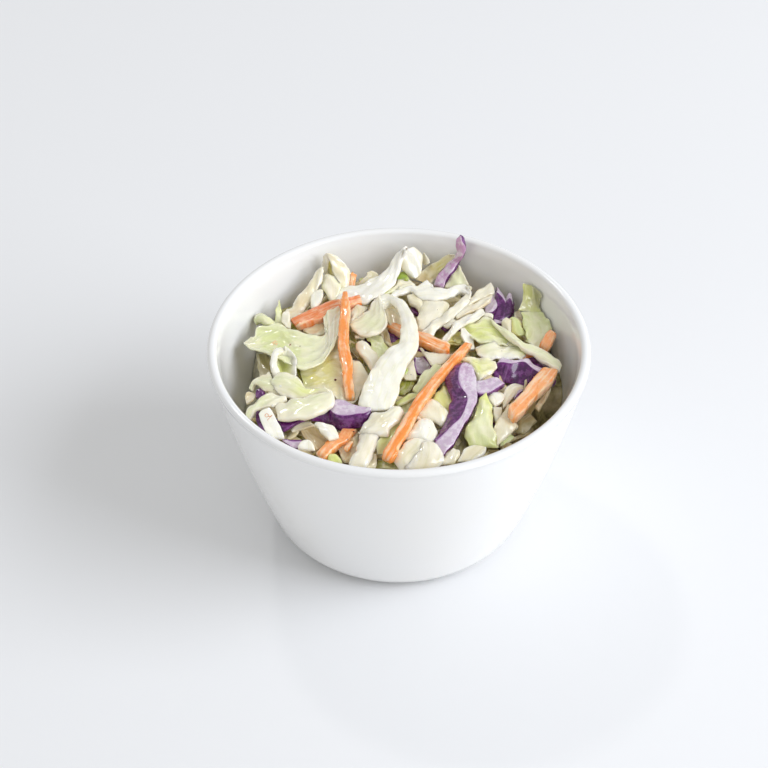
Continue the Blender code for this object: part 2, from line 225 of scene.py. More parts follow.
def purpleMaterial():
    s = Shade("purple cabbage", {
        "Subsurface Weight": 0.25, "Subsurface Radius": (0.9, 0.4, 0.9), "Subsurface Scale": 0.0012,
        "Coat Weight": 0.8, "Coat Roughness": 0.07, "IOR": 1.4,
    })
    skin = s.attribute("skin", "Fac")
    veins = s.noise(s.strip(1.0, 7.0), 1.0, 4.0, 0.65, 0.6)
    ribs = s.noise(s.strip(5.0, 0.7), 1.0, 3.0, 0.55, 0.3)
    blotch = s.noise(s.place(), 620.0, 4.0, 0.65)
    film = s.step(veins * 0.35 + blotch * 0.65, 0.44, 0.58, 0.0, 0.8)
    flesh = s.mix(film, s.attribute("tone"), linear(226, 215, 223))
    pinked = s.mix(s.step(skin + (blotch - 0.5) * 0.8, 0.5, 0.7, 0.0, 0.6), flesh, linear(150, 78, 158))
    peel = s.mix(s.step(blotch, 0.35, 0.7), linear(70, 12, 76), linear(118, 32, 122))
    ribbed = s.mix(s.step(ribs, 0.6, 0.74, 0.0, 0.45), peel, linear(176, 124, 184))
    hazed = s.mix(s.step(film, 0.3, 0.7, 0.0, 0.2), ribbed, linear(150, 118, 158))
    s.set("Base Color", s.mix(s.step(skin + (blotch - 0.5) * 0.1, 0.68, 0.73), pinked, hazed))
    s.set("Roughness", 0.24 + (blotch - 0.5) * 0.2)
    s.bump(veins * 0.5 + ribs * 0.3 + blotch * 0.4, 0.4, 0.3 * mm)
    return s.material


def carrotMaterial():
    s = Shade("carrot", {
        "Subsurface Weight": 0.45, "Subsurface Radius": (1.0, 0.45, 0.18), "Subsurface Scale": 0.0016,
        "Coat Weight": 0.8, "Coat Roughness": 0.07, "IOR": 1.4,
    })
    fibres = s.noise(s.strip(0.5, 9.0), 1.0, 4.0, 0.65, 0.3)
    bands = s.noise(s.strip(1.8, 3.0), 1.0, 3.0, 0.6, 1.0)
    pits = s.noise(s.place(), 1100.0, 2.0, 0.5)
    tone = s.attribute("tone")
    milky = s.mix(s.step(fibres * 0.6 + bands * 0.4, 0.44, 0.6, 0.0, 0.85), tone, linear(255, 216, 178))
    deeper = s.mix(s.step(bands * 0.6 + pits * 0.4, 0.32, 0.48, 0.55, 0.0), milky, linear(240, 126, 44))
    s.set("Base Color", deeper)
    s.set("Roughness", 0.22 + (bands - 0.5) * 0.2)
    s.bump(fibres * 0.6 + pits * 0.35, 0.5, 0.3 * mm)
    return s.material


def coreMaterial():
    s = Shade("slaw core with painted shade", {"Subsurface Weight": 0.2, "Subsurface Radius": (1.0, 0.8, 0.4), "Subsurface Scale": 0.002})
    cells = s.noise(s.place(), 330.0, 4.0, 0.6, 0.5)
    patches = s.noise(s.place(), 120.0, 2.0, 0.5)
    # the core's dark olive and brown colours are painted shade for the deep gaps between the shreds; its skin value
    # turns it pale cream in the left hollow
    ground = s.mix(s.step(cells, 0.35, 0.65), linear(104, 92, 52), linear(176, 166, 110))
    shaded = s.mix(s.step(patches, 0.48, 0.65), ground, linear(190, 176, 134))
    s.set("Base Color", s.mix(s.attribute("skin", "Fac") * 0.9, shaded, linear(226, 220, 196)))
    s.set("Roughness", 0.4 - (cells - 0.5) * 0.4)
    s.bump(cells, 0.8, 1.2 * mm)
    return s.material


def dressingMaterial():
    s = Shade("creamy dressing", {
        "Subsurface Weight": 0.1, "Subsurface Radius": (1.0, 0.9, 0.7), "Subsurface Scale": 0.001,
        "Coat Weight": 0.5, "Coat Roughness": 0.05, "IOR": 1.4,
    })
    streaks = s.noise(s.place(), 500.0, 2.0, 0.5)
    s.set("Base Color", s.mix(streaks, linear(240, 236, 216), linear(250, 248, 238)))
    s.set("Roughness", 0.12 + streaks * 0.1)
    return s.material


def pepperMaterial():
    s = Shade("ground pepper", {"Specular IOR Level": 0.4})
    grains = s.noise(s.place(), 2600.0, 3.0, 0.6)
    brown = s.mix(s.step(grains, 0.35, 0.7), linear(62, 22, 12), linear(150, 70, 34))
    s.set("Base Color", s.mix(s.attribute("skin", "Fac"), brown, s.attribute("tone")))
    s.set("Roughness", 0.45 + grains * 0.3)
    return s.material


glazeLook = {"colour": (0.865, 0.866, 0.86), "warm": (0.87, 0.858, 0.83), "roughness": 0.09}


def glazeMaterial():
    s = Shade("white glaze", {"Coat Weight": 0.3, "Coat Roughness": 0.04, "IOR": 1.5})
    ripples = s.noise(s.place(), 26.0, 2.0, 0.5)
    pores = s.noise(s.place(), 900.0, 3.0, 0.6)
    s.set("Base Color", s.mix(s.step(ripples, 0.35, 0.7, 0.0, 0.6), glazeLook["colour"], glazeLook["warm"]))
    s.set("Roughness", glazeLook["roughness"] + ripples * 0.05 + pores * 0.03)
    s.bump(ripples + pores * 0.04, 0.05, 0.6 * mm)
    return s.material


def floorMaterial():
    s = Shade("pale table", {"Specular IOR Level": 0.3})
    grain = s.noise(s.place(), 1400.0, 3.0, 0.6)
    s.set("Base Color", s.mix(grain * 0.25, (0.825, 0.828, 0.832), (0.85, 0.852, 0.855)))
    s.set("Roughness", 0.62 + grain * 0.1)
    return s.material


def unit(vectors):
    return vectors / np.linalg.norm(vectors, axis=-1, keepdims=True)


# ---- meshes from arrays -------------------------------------------------


# a closed part's faces turned outward: turned round where the sum of a . (b x c) over its triangles is negative
def outward(part):
    corners = np.concatenate([part["quads"][:, :3], part["quads"][:, [0, 2, 3]], part["triangles"]])
    a, b, c = (part["points"][corners[:, i]] for i in range(3))
    if np.sum(a * np.cross(b, c)) < 0:
        part["quads"], part["triangles"] = part["quads"][:, ::-1], part["triangles"][:, ::-1]
    return part


# joins parts, each a dictionary of points, quads, triangles, uv, tone and skin, into one smooth mesh object
def pieceFrom(name, parts, material, smooth=True):
    parts = [outward(part) for part in parts]
    start = np.cumsum([0] + [len(part["points"]) for part in parts])
    points = np.concatenate([part["points"] for part in parts])
    quads = np.concatenate([part["quads"] + shift for part, shift in zip(parts, start)])
    triangles = np.concatenate([part["triangles"] + shift for part, shift in zip(parts, start)])
    loops = np.concatenate([quads.ravel(), triangles.ravel()]).astype(np.int32)
    totals = np.concatenate([np.full(len(quads), 4), np.full(len(triangles), 3)]).astype(np.int32)
    mesh = bpy.data.meshes.new(name)
    mesh.vertices.add(len(points))
    mesh.vertices.foreach_set("co", points.astype(np.float32).ravel())
    mesh.loops.add(len(loops))
    mesh.loops.foreach_set("vertex_index", loops)
    mesh.polygons.add(len(totals))
    mesh.polygons.foreach_set("loop_start", (np.cumsum(totals) - totals).astype(np.int32))
    mesh.polygons.foreach_set("use_smooth", np.full(len(totals), smooth))
    mesh.update(calc_edges=True)
    uv = np.concatenate([part["uv"] for part in parts])[loops]
    mesh.uv_layers.new(name="strip").data.foreach_set("uv", uv.astype(np.float32).ravel())
    tone = np.concatenate([part["tone"] for part in parts])
    tone = np.concatenate([tone, np.ones((len(tone), 1))], axis=1)
    mesh.attributes.new("tone", "FLOAT_COLOR", "POINT").data.foreach_set("color", tone.astype(np.float32).ravel())
    skin = np.concatenate([part["skin"] for part in parts])
    mesh.attributes.new("skin", "FLOAT", "POINT").data.foreach_set("value", skin.astype(np.float32))
    mesh.validate()
    mesh.materials.append(material)
    made = bpy.data.objects.new(name, mesh)
    bpy.context.scene.collection.objects.link(made)
    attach(made, "root")
    print(f"{name}: {len(quads) * 2 + len(triangles)} triangles")
    return made


# faces of a closed tube: a grid of rings by steps round, and a fan to a pole at each end;
# ring k's points are k * around + j, and the two poles come last
def tubeFaces(rings, around):
    k, j = np.meshgrid(np.arange(rings - 1), np.arange(around), indexing="ij")
    here, ahead = k * around + j, k * around + (j + 1) % around
    quads = np.stack([here, here + around, ahead + around, ahead], axis=-1).reshape(-1, 4)
    j = np.arange(around)
    first, last = rings * around, rings * around + 1
    tail = (rings - 1) * around
    startFan = np.stack([np.full(around, first), j, (j + 1) % around], axis=-1)
    endFan = np.stack([np.full(around, last), tail + (j + 1) % around, tail + j], axis=-1)
    return quads, np.concatenate([startFan, endFan])


# a smooth curve through values at even places: Catmull-Rom, (2p1 + (p2-p0)t + (2p0-5p1+4p2-p3)t2 + ...) / 2
def through(values, share):
    values = np.asarray(values, float)
    if values.ndim == 1:
        values = values[:, None]
    if len(values) == 1:
        return np.repeat(values, len(share), axis=0)
    place = np.clip(share, 0, 1) * (len(values) - 1)
    k = np.minimum(place.astype(int), len(values) - 2)
    t = (place - k)[:, None]
    ahead = 2 * values[-1] - values[-2]
    behind = 2 * values[0] - values[1]
    padded = np.concatenate([behind[None], values, ahead[None]])
    a, b, c, d = (padded[k + i] for i in range(4))
    return (2 * b + (c - a) * t + (2 * a - 5 * b + 4 * c - d) * t**2 + (3 * b - a - 3 * c + d) * t**3) / 2


# ---- the bowl -----------------------------------------------------------

bowlShape = {
    "footLine": 35 * mm,  # where the line of the side would meet the table
    "bulge": 1.2 * mm,
    "wall": 2.8 * mm,
    "footRounding": 8 * mm,
    "floor": 4 * mm,
    "innerRounding": 9 * mm,
    "lipRounding": 1.25 * mm,
    "around": 192,
}


# radius of the side at height z: foot + (rim - foot) * t + bulge * 4t(1 - t), with t = z / height, less an inset
def sideRadius(z, inset=0.0):
    t = np.clip(z / bowlHeight, 0, 1)
    foot = bowlShape["footLine"]
    return foot + (rimRadius - foot) * t + bowlShape["bulge"] * 4 * t * (1 - t) - inset


def innerRadius(z):
    return sideRadius(z, bowlShape["wall"])


# an arc (r, z) about a centre, between two angles in degrees
def arc(centre, radius, start, end, steps):
    angle = np.radians(np.linspace(start, end, steps))
    return np.stack([centre[0] + radius * np.cos(angle), centre[1] + radius * np.sin(angle)], axis=1)


# the arc that joins a level floor to a side leaning out, floor first
def lowCorner(inset, floor, rounding, steps):
    lean = math.atan2(sideRadius(floor + rounding, inset) - sideRadius(floor, inset), rounding)
    touch = floor + rounding * (1 - math.sin(lean))
    centre = (sideRadius(touch, inset) - rounding * math.cos(lean), floor + rounding)
    return arc(centre, rounding, -90, -math.degrees(lean), steps)


def bowlProfile():
    # up the inside, over the lip, down the outside and under the foot
    b = bowlShape
    wall, lip = b["wall"], b["lipRounding"]
    inner = lowCorner(wall, b["floor"], b["innerRounding"], 14)
    outer = lowCorner(0, 0, b["footRounding"], 14)[::-1]
    up = np.linspace(b["floor"] + b["innerRounding"], bowlHeight - lip * 1.6, 26)
    down = np.linspace(bowlHeight - lip * 1.3, b["footRounding"], 26)
    innerLip = arc((rimRadius - wall + lip * 1.1, bowlHeight - lip * 1.1), lip * 1.1, 172, 96, 7)
    outerLip = arc((rimRadius - lip, bowlHeight - lip), lip, 84, 6, 7)
    insideWall = np.stack([sideRadius(up, wall), up], axis=1)
    outsideWall = np.stack([sideRadius(down), down], axis=1)
    return np.concatenate([inner, insideWall, innerLip, outerLip, outsideWall, outer])


# the profile carried round the axis: (r cos a, r sin a, z), closed by a pole at each end
def makeBowl():
    profile = bowlProfile()
    angle = np.arange(bowlShape["around"]) / bowlShape["around"] * fullTurn
    r, z = profile[:, :1], profile[:, 1:]
    rings = np.stack([r * np.cos(angle), r * np.sin(angle), z + 0 * angle], axis=-1).reshape(-1, 3)
    poles = np.array([[0, 0, profile[0, 1]], [0, 0, profile[-1, 1]]])
    points = np.concatenate([rings, poles])
    quads, triangles = tubeFaces(len(profile), len(angle))
    quads, triangles = quads[:, ::-1], triangles[:, ::-1]
    count = len(points)
    part = {
        "points": points, "quads": quads, "triangles": triangles,
        "uv": points[:, :2] * 10, "tone": np.ones((count, 3)), "skin": np.zeros(count),
    }
    made = pieceFrom("glazedBowl", [part], glazeMaterial())
    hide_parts("bowl")
    return made


# ---- places on the heap -------------------------------------------------

heap = {
    "edgeLevel": 46.2 * mm,  # the lower shreds lie on a low dome
    "domeRise": 3.6 * mm,
    "domeRadius": 45 * mm,
    "wallMargin": 0.7 * mm,
}
eye = np.array([0, -501.4, 483.7]) * mm
aim = np.array([-4.47, 51.47, 0]) * mm
lensLength = 112.5
imageSize = 768


# height of the dome: edge + rise * (1 - (r / radius) squared)
def domeLevel(x, y):
    return heap["edgeLevel"] + heap["domeRise"] * (1 - (x * x + y * y) / heap["domeRadius"] ** 2)


# the way from the eye through a place in the picture: ahead + across * x + above * y, with x and y from its middle
def sightLine(x, y):
    ahead = unit(aim - eye)
    across = unit(np.cross(ahead, [0, 0, 1]))
    above = np.cross(across, ahead)
    focal = lensLength / 36 * imageSize
    x, y = (np.asarray(v, float)[..., None] for v in (x, y))
    return ahead + across * (x - imageSize / 2) / focal + above * (imageSize / 2 - y) / focal


# points that are seen at these places in the picture and lie at the dome's height plus a lift
def onHeap(places, lift):
    places = np.asarray(places, float)
    way = sightLine(places[:, 0], places[:, 1])
    height = np.full(len(places), heap["edgeLevel"])
    for _ in range(10):
        points = eye + way * ((height - eye[2]) / way[:, 2])[:, None]
        height = domeLevel(points[:, 0], points[:, 1]) + lift * mm
    return points


# points nearer to the bowl's side than the margin are drawn in towards the axis
def keptInside(points, margin):
    reach = np.hypot(points[:, 0], points[:, 1])
    most = innerRadius(points[:, 2]) - margin
    below = points[:, 2] < bowlHeight + 1 * mm
    scale = np.where(below & (reach > most), most / np.maximum(reach, 1e-9), 1.0)
    points[:, :2] *= scale[:, None]
    return points


# ---- shreds -------------------------------------------------------------

shredShape = {
    "spacing": 0.66 * mm,  # between the rings of a shred that shows
    "fillSpacing": 1.0 * mm,
    "acrossSpacing": 0.52 * mm,
    "fillAround": 14,
    "ragged": 0.11 * mm,  # how far a side wanders
    "slant": 0.3,  # how far an end is cut askew, as a share of half the width
    "facing": np.array([0.0, -0.35, 0.94]),  # a shred's upper face looks this way
}


# values of the palette through a piece's length, even steps apart
def tonesOf(names, share):
    names = [names] if isinstance(names, str) else names
    listed = np.array([palette[name] for name in names])
    if len(listed) == 1:
        return np.repeat(listed, len(share), axis=0)
    steps = np.linspace(0, 1, len(listed))
    return np.stack([np.interp(share, steps, listed[:, i]) for i in range(3)], axis=1)


# A shred is a thin closed body between its edges, two or three curves side by side. At share s along and
# angle a round, t = cos a runs from the first edge to the last:
#   middle(s, t) = the point that far from edge to edge, + normal * bulge * (1 - t^2) + normal * ruffle * t^2 * waves
#   point = middle + normal * half thickness * sign(sin a) * (1 - |t| ^ square) ^ (1 / square)
# Both the width and the thickness fall off near an end as the quarter of a circle.
def shred(row, draw, fine=True):
    if "path" in row:
        edges = row["path"]
    else:
        lifts = row["lift"] if isinstance(row["lift"][0], list) else [row["lift"]] * len(row["edges"])
        edges = []
        for line, lift in zip(row["edges"], lifts):
            edges.append(onHeap(line, through(lift, np.linspace(0, 1, len(line)))[:, 0]))
    dense = np.linspace(0, 1, 160)
    trail = np.mean([through(edge, dense) for edge in edges], axis=0)
    travel = np.concatenate([[0], np.cumsum(np.linalg.norm(np.diff(trail, axis=0), axis=1))])
    heading = np.gradient(trail, axis=0)
    broad = through(edges[-1], dense) - through(edges[0], dense)
    if np.mean(np.cross(heading, broad) @ shredShape["facing"]) < 0:
        edges = edges[::-1]
        row = {**row, "skins": row.get("skins", [0])[::-1]}
        broad = -broad
    total = travel[-1]
    thick = row["thick"] * mm
    count = max(7, int(total / shredShape["spacing" if fine else "fillSpacing"]))
    ends = np.minimum(thick * np.array([0.02, 0.1, 0.28]), total * 0.1)
    where = np.concatenate([ends, np.linspace(ends[-1] * 1.9, total - ends[-1] * 1.9, count), total - ends[::-1]])
    share = np.interp(where, travel, dense)
    lines = np.stack([through(edge, share) for edge in edges])
    widest = np.linalg.norm(broad, axis=1).max()
    around = int(np.clip(widest / shredShape["acrossSpacing"] * 2.4, 20, 64) / 2) * 2 if fine else shredShape["fillAround"]
    angle = (np.arange(around) + 0.5) / around * fullTurn
    tip = np.minimum(where, total - where)[:, None]
    nearness = np.clip(tip / (thick * row.get("round", 0.5)), 0, 1)
    endShape = np.sqrt(np.clip(1 - (1 - nearness) ** 2, 0.0, 1))
    phase = draw.uniform(0, fullTurn, 14)
    rough = row.get("rough", 1.0)
    reach = np.linalg.norm(lines[-1] - lines[0], axis=1) / 2
    square = row["square"]
    t = np.cos(angle)[None]
    step = where[:, None] / mm
    side = 1 + 2 * (t > 0)
    ragged = np.sin(step / 1.7 + phase[0] * side) + 0.7 * np.sin(step / 0.74 + phase[1] * side)
    ragged = ragged + 0.5 * np.sin(step / 0.41 + phase[11] * side)
    ragged = ragged * shredShape["ragged"] * rough / np.maximum(reach, 1 * mm)[:, None]
    inset = (0.84 + 0.16 * endShape) * (1 + ragged)
    place = (t * inset * 1.04 + 1) / 2 * (len(lines) - 1)
    k = np.clip(place.astype(int), 0, len(lines) - 2)
    part = (place - k)[..., None]
    n = np.arange(len(where))[:, None]
    middle = lines[k, n] * (1 - part) + lines[k + 1, n] * part
    across = unit(lines[k + 1, n] - lines[k, n] + (lines[-1] - lines[0])[:, None] * 0.15)
    along = unit(np.gradient(middle, axis=0))
    normal = unit(np.cross(along, across))
    bulge = through(np.atleast_1d(row.get("bulge", 0.0)), share) * mm
    waves = np.sin(where[:, None] / (row.get("pitch", 5.0) * mm) * fullTurn + phase[3] + np.sign(t) * phase[4])
    waves = waves + 0.4 * np.sin(where[:, None] / (3.1 * mm) * fullTurn + phase[5] - np.sign(t) * phase[6])
    offset = bulge * (1 - t**2) * endShape + row.get("ruffle", 0.1) * mm * waves * t**2 * endShape
    broadside = t * reach[:, None] / mm
    creases = np.abs(np.sin(step / 3.9 + broadside * 0.5 + phase[7])) + np.abs(np.sin(step / 2.3 - broadside * 0.9 + phase[8]))
    ribs = np.sin(broadside * 4.2 + 0.8 * np.sin(step / 4.4 + phase[12]) + phase[13]) * np.sin(step / 5.2 + phase[7])
    lumps = np.sin(step / 1.6 + broadside * 1.1 + phase[7]) * np.sin(broadside * 2.3 + phase[8])
    offset = offset + row.get("crease", 0.0) * mm * (0.9 - creases) * endShape
    offset = offset + mm * rough * (0.05 * lumps + 0.06 * ribs)
    depth = thick / 2 * (0.08 + 0.92 * endShape) * (1 + 0.08 * rough * np.sin(where / (2.3 * mm) + phase[2]))[:, None]
    depth = np.minimum(depth, 0.1 * mm + reach[:, None] * 0.9)
    depth = depth * np.sign(np.sin(angle))[None] * (1 - np.abs(t) ** square) ** (1 / square)
    points = middle + normal * (offset + depth)[..., None]
    slants = draw.uniform(-1, 1, 2) * shredShape["slant"]
    slip = slants[0] * np.exp(-where / reach.max()) + slants[1] * np.exp((where - total) / reach.max())
    points = points + along * (t * slip[:, None] * reach[:, None])[..., None]
    poles = np.stack([points[0].mean(axis=0), points[-1].mean(axis=0)])
    flat = keptInside(np.concatenate([points.reshape(-1, 3), poles]), heap["wallMargin"])
    quads, triangles = tubeFaces(len(where), around)
    shift = draw.uniform(0, 50, 2)
    u = np.repeat(where[:, None], around, axis=1) * 100 + shift[0]
    v = t * reach[:, None] * 100 + shift[1]
    rim = np.abs(t) + 0 * u
    patch = np.sin(u * 6.1 + phase[9]) * np.sin(u * 3.3 + v * 4 + phase[10])
    blend = np.clip(rim**2.6 * 1.1 + patch * row.get("patchy", 0.18), 0, 1)[..., None]
    tone = tonesOf(row["tone"], share)[:, None] * (1 - blend) + tonesOf(row["edge"], share)[:, None] * blend
    # fill shreds are multiplied by their layer's tint, which is painted shade, darker for deeper layers
    tone = tone * (1 + draw.uniform(-0.04, 0.02)) * row.get("depthPaintedShade", (1, 1, 1))
    skins = np.array(row.get("skins", [0]), float)
    if len(skins) > 1:
        spread = np.clip(place / (len(lines) - 1), 0, 1)
        skin = np.interp(spread, np.linspace(0, 1, len(skins)), skins)
        skin = np.where(skin < 0.8, 0.8 * (skin / 0.8) ** 3, skin)  # a cut face pales quickly away from the skin
    else:
        skin = 0 * u
    edgeSkin = np.clip((rim - 1 + row.get("rim", 0.06)) / max(row.get("rim", 0.06), 1e-3) + 0.1, 0, 1)
    under = (np.sin(angle) < 0)[None] * 1.0
    skin = np.maximum(np.maximum(skin, edgeSkin), under)

    def withPoles(grid):
        listed = grid.reshape(len(where) * around, -1)
        return np.concatenate([listed, listed[:1], listed[-1:]])

    return {
        "points": flat, "quads": quads, "triangles": triangles, "uv": withPoles(np.stack([u, v + 0 * u], axis=-1)),
        "tone": withPoles(tone), "skin": withPoles(skin)[:, 0],
    }


# edges: each edge's places in the picture, in pixels, side by side along the shred; lift: how high over the dome
# it lies there, in mm, for all edges or for each; thick, bulge and ruffle in mm; the rest as in shred()
carrotRows = [
    # long stick on top, left
    dict(edges=[[(342.9, 292.7), (341.8, 299.1), (340.7, 308), (340.1, 318.2), (339, 328.4), (338.3, 338.6), (338,
         346.4), (339.8, 359.1), (341.6, 370), (343, 380.8), (344.3, 391), (345.7, 402.2)], [(347.3, 292.7), (348.7,
         299.1), (350.3, 309.3), (349.6, 319.5), (349.1, 329.7), (348.6, 339.9), (349.2, 346.4), (351, 356.6), (352.8,
         366.1), (352.8, 378.3), (354, 389.1), (355.1, 401.2)]], lift=[6.8, 6.5, 5.6, 4.8, 4.4, 3.9, 3.3, 2.4]),
    # stick that crosses under it, in darker orange: painted shade
    dict(edges=[[(289.9, 321.7), (299.5, 317.6), (312.2, 310.8), (327.6, 304.2), (340.3, 301.4), (351.8, 299.3),
         (361.7, 296.5)], [(298, 328.4), (312.2, 323.6), (323.1, 320.1), (333.9, 312.5), (341.6, 309.3), (351.8, 307),
         (363.3, 304.4)]], lift=[3, 3.5, 3.6, 3.6, 3.3], tone="deep", edge="deep"),
    # stub behind
    dict(edges=[[(350.5, 272.6), (349, 279.9), (348, 288.9)], [(353.3, 272.3), (355.6, 276.8), (355.1, 288.9)]],
         lift=[6.2, 4.7, 2.9], tone="milky"),
    # stick through the hook
    dict(edges=[[(388.1, 321.4), (400, 326.7), (418.8, 333.2), (428.2, 336.2), (439.6, 341.2), (451.9, 345.6)],
         [(386.9, 328.4), (400, 336.2), (418.8, 343.9), (428.8, 348.3), (436.9, 351.4), (447.9, 353.1)]], lift=[1.2,
         1.8, 2.6, 3, 3.3]),
    # long stick in the front middle
    dict(edges=[[(465, 343.3), (458.3, 350.7), (447.6, 361.8), (438.9, 371.5), (430.2, 381.5), (421.5, 392.2), (413.4,
         403.2), (404.7, 417.9), (395.4, 434), (391.3, 440.1), (385.6, 449.7), (381.4, 458.6)], [(472.4, 345.6), (465,
         354.7), (456.3, 364.8), (448.3, 373.1), (440.2, 383.1), (432.9, 393.6), (425.5, 403.9), (417.5, 415.9),
         (410.1, 431.1), (398, 450.5), (397.1, 455.4), (389.8, 463.1)]], lift=[3.9, 4.4, 4.7, 4.8, 4.8, 5, 5.1],
         round=0.8, thick=2.8),
    # thick stick at the right
    dict(edges=[[(546, 368.8), (537.3, 375.1), (529.3, 385.3), (521.2, 395.2), (511.2, 405.4), (507.9, 410.7), (508.9,
         417)], [(558.1, 371.9), (552.7, 383.1), (542.9, 392.5), (532.2, 402.9), (524.3, 412.3), (517.9, 419), (512.5,
         422)]], lift=[5.1, 5.6, 5.7, 5.6], round=0.6, thick=3.4, tone="milky", edge="orange"),
    # stub at the far right
    dict(edges=[[(551.4, 329.3), (545.4, 335.4), (540.7, 343.5), (538.4, 349.4)], [(556.1, 333.8), (554.2, 340.5),
         (550.7, 347.2), (548, 352.3)]], lift=[6.6, 5.4, 4.4, 3.2], round=0.8, tone="milky", edge="orange"),
    # stick at the front left
    dict(edges=[[(315.4, 455.4), (322.4, 447.8), (328.8, 441.8), (337.8, 437.6), (342.2, 429.9)], [(326.3, 459.3),
         (332.7, 452.5), (339.7, 446.5), (348, 442), (358.2, 430.6)]], lift=[2.6, 2.4, 2, 1.6, 1.2], tone="milky",
         edge="orange"),
    # sliver beside it
    dict(edges=[[(350.8, 441.8), (344.4, 447.4), (344.6, 450.7)], [(353.8, 442), (350.5, 448.4), (348, 452)]],
         lift=[2.6, 2.7, 2.6], thick=1, tone="milky"),
    # piece under the purple one at the right, in darker orange: painted shade
    dict(edges=[[(516.6, 360.1), (523.9, 356.3), (532, 354.5)], [(517.2, 362.1), (525.3, 360.1), (535.3, 358.1)]],
         lift=[2.4, 2.7, 2.6], tone="deep", thick=2),
]
carrotBasics = dict(thick=2.4, square=6.0, tone="orange", edge="orange", ruffle=0.04, rough=0.6, round=0.4, crease=0.1)

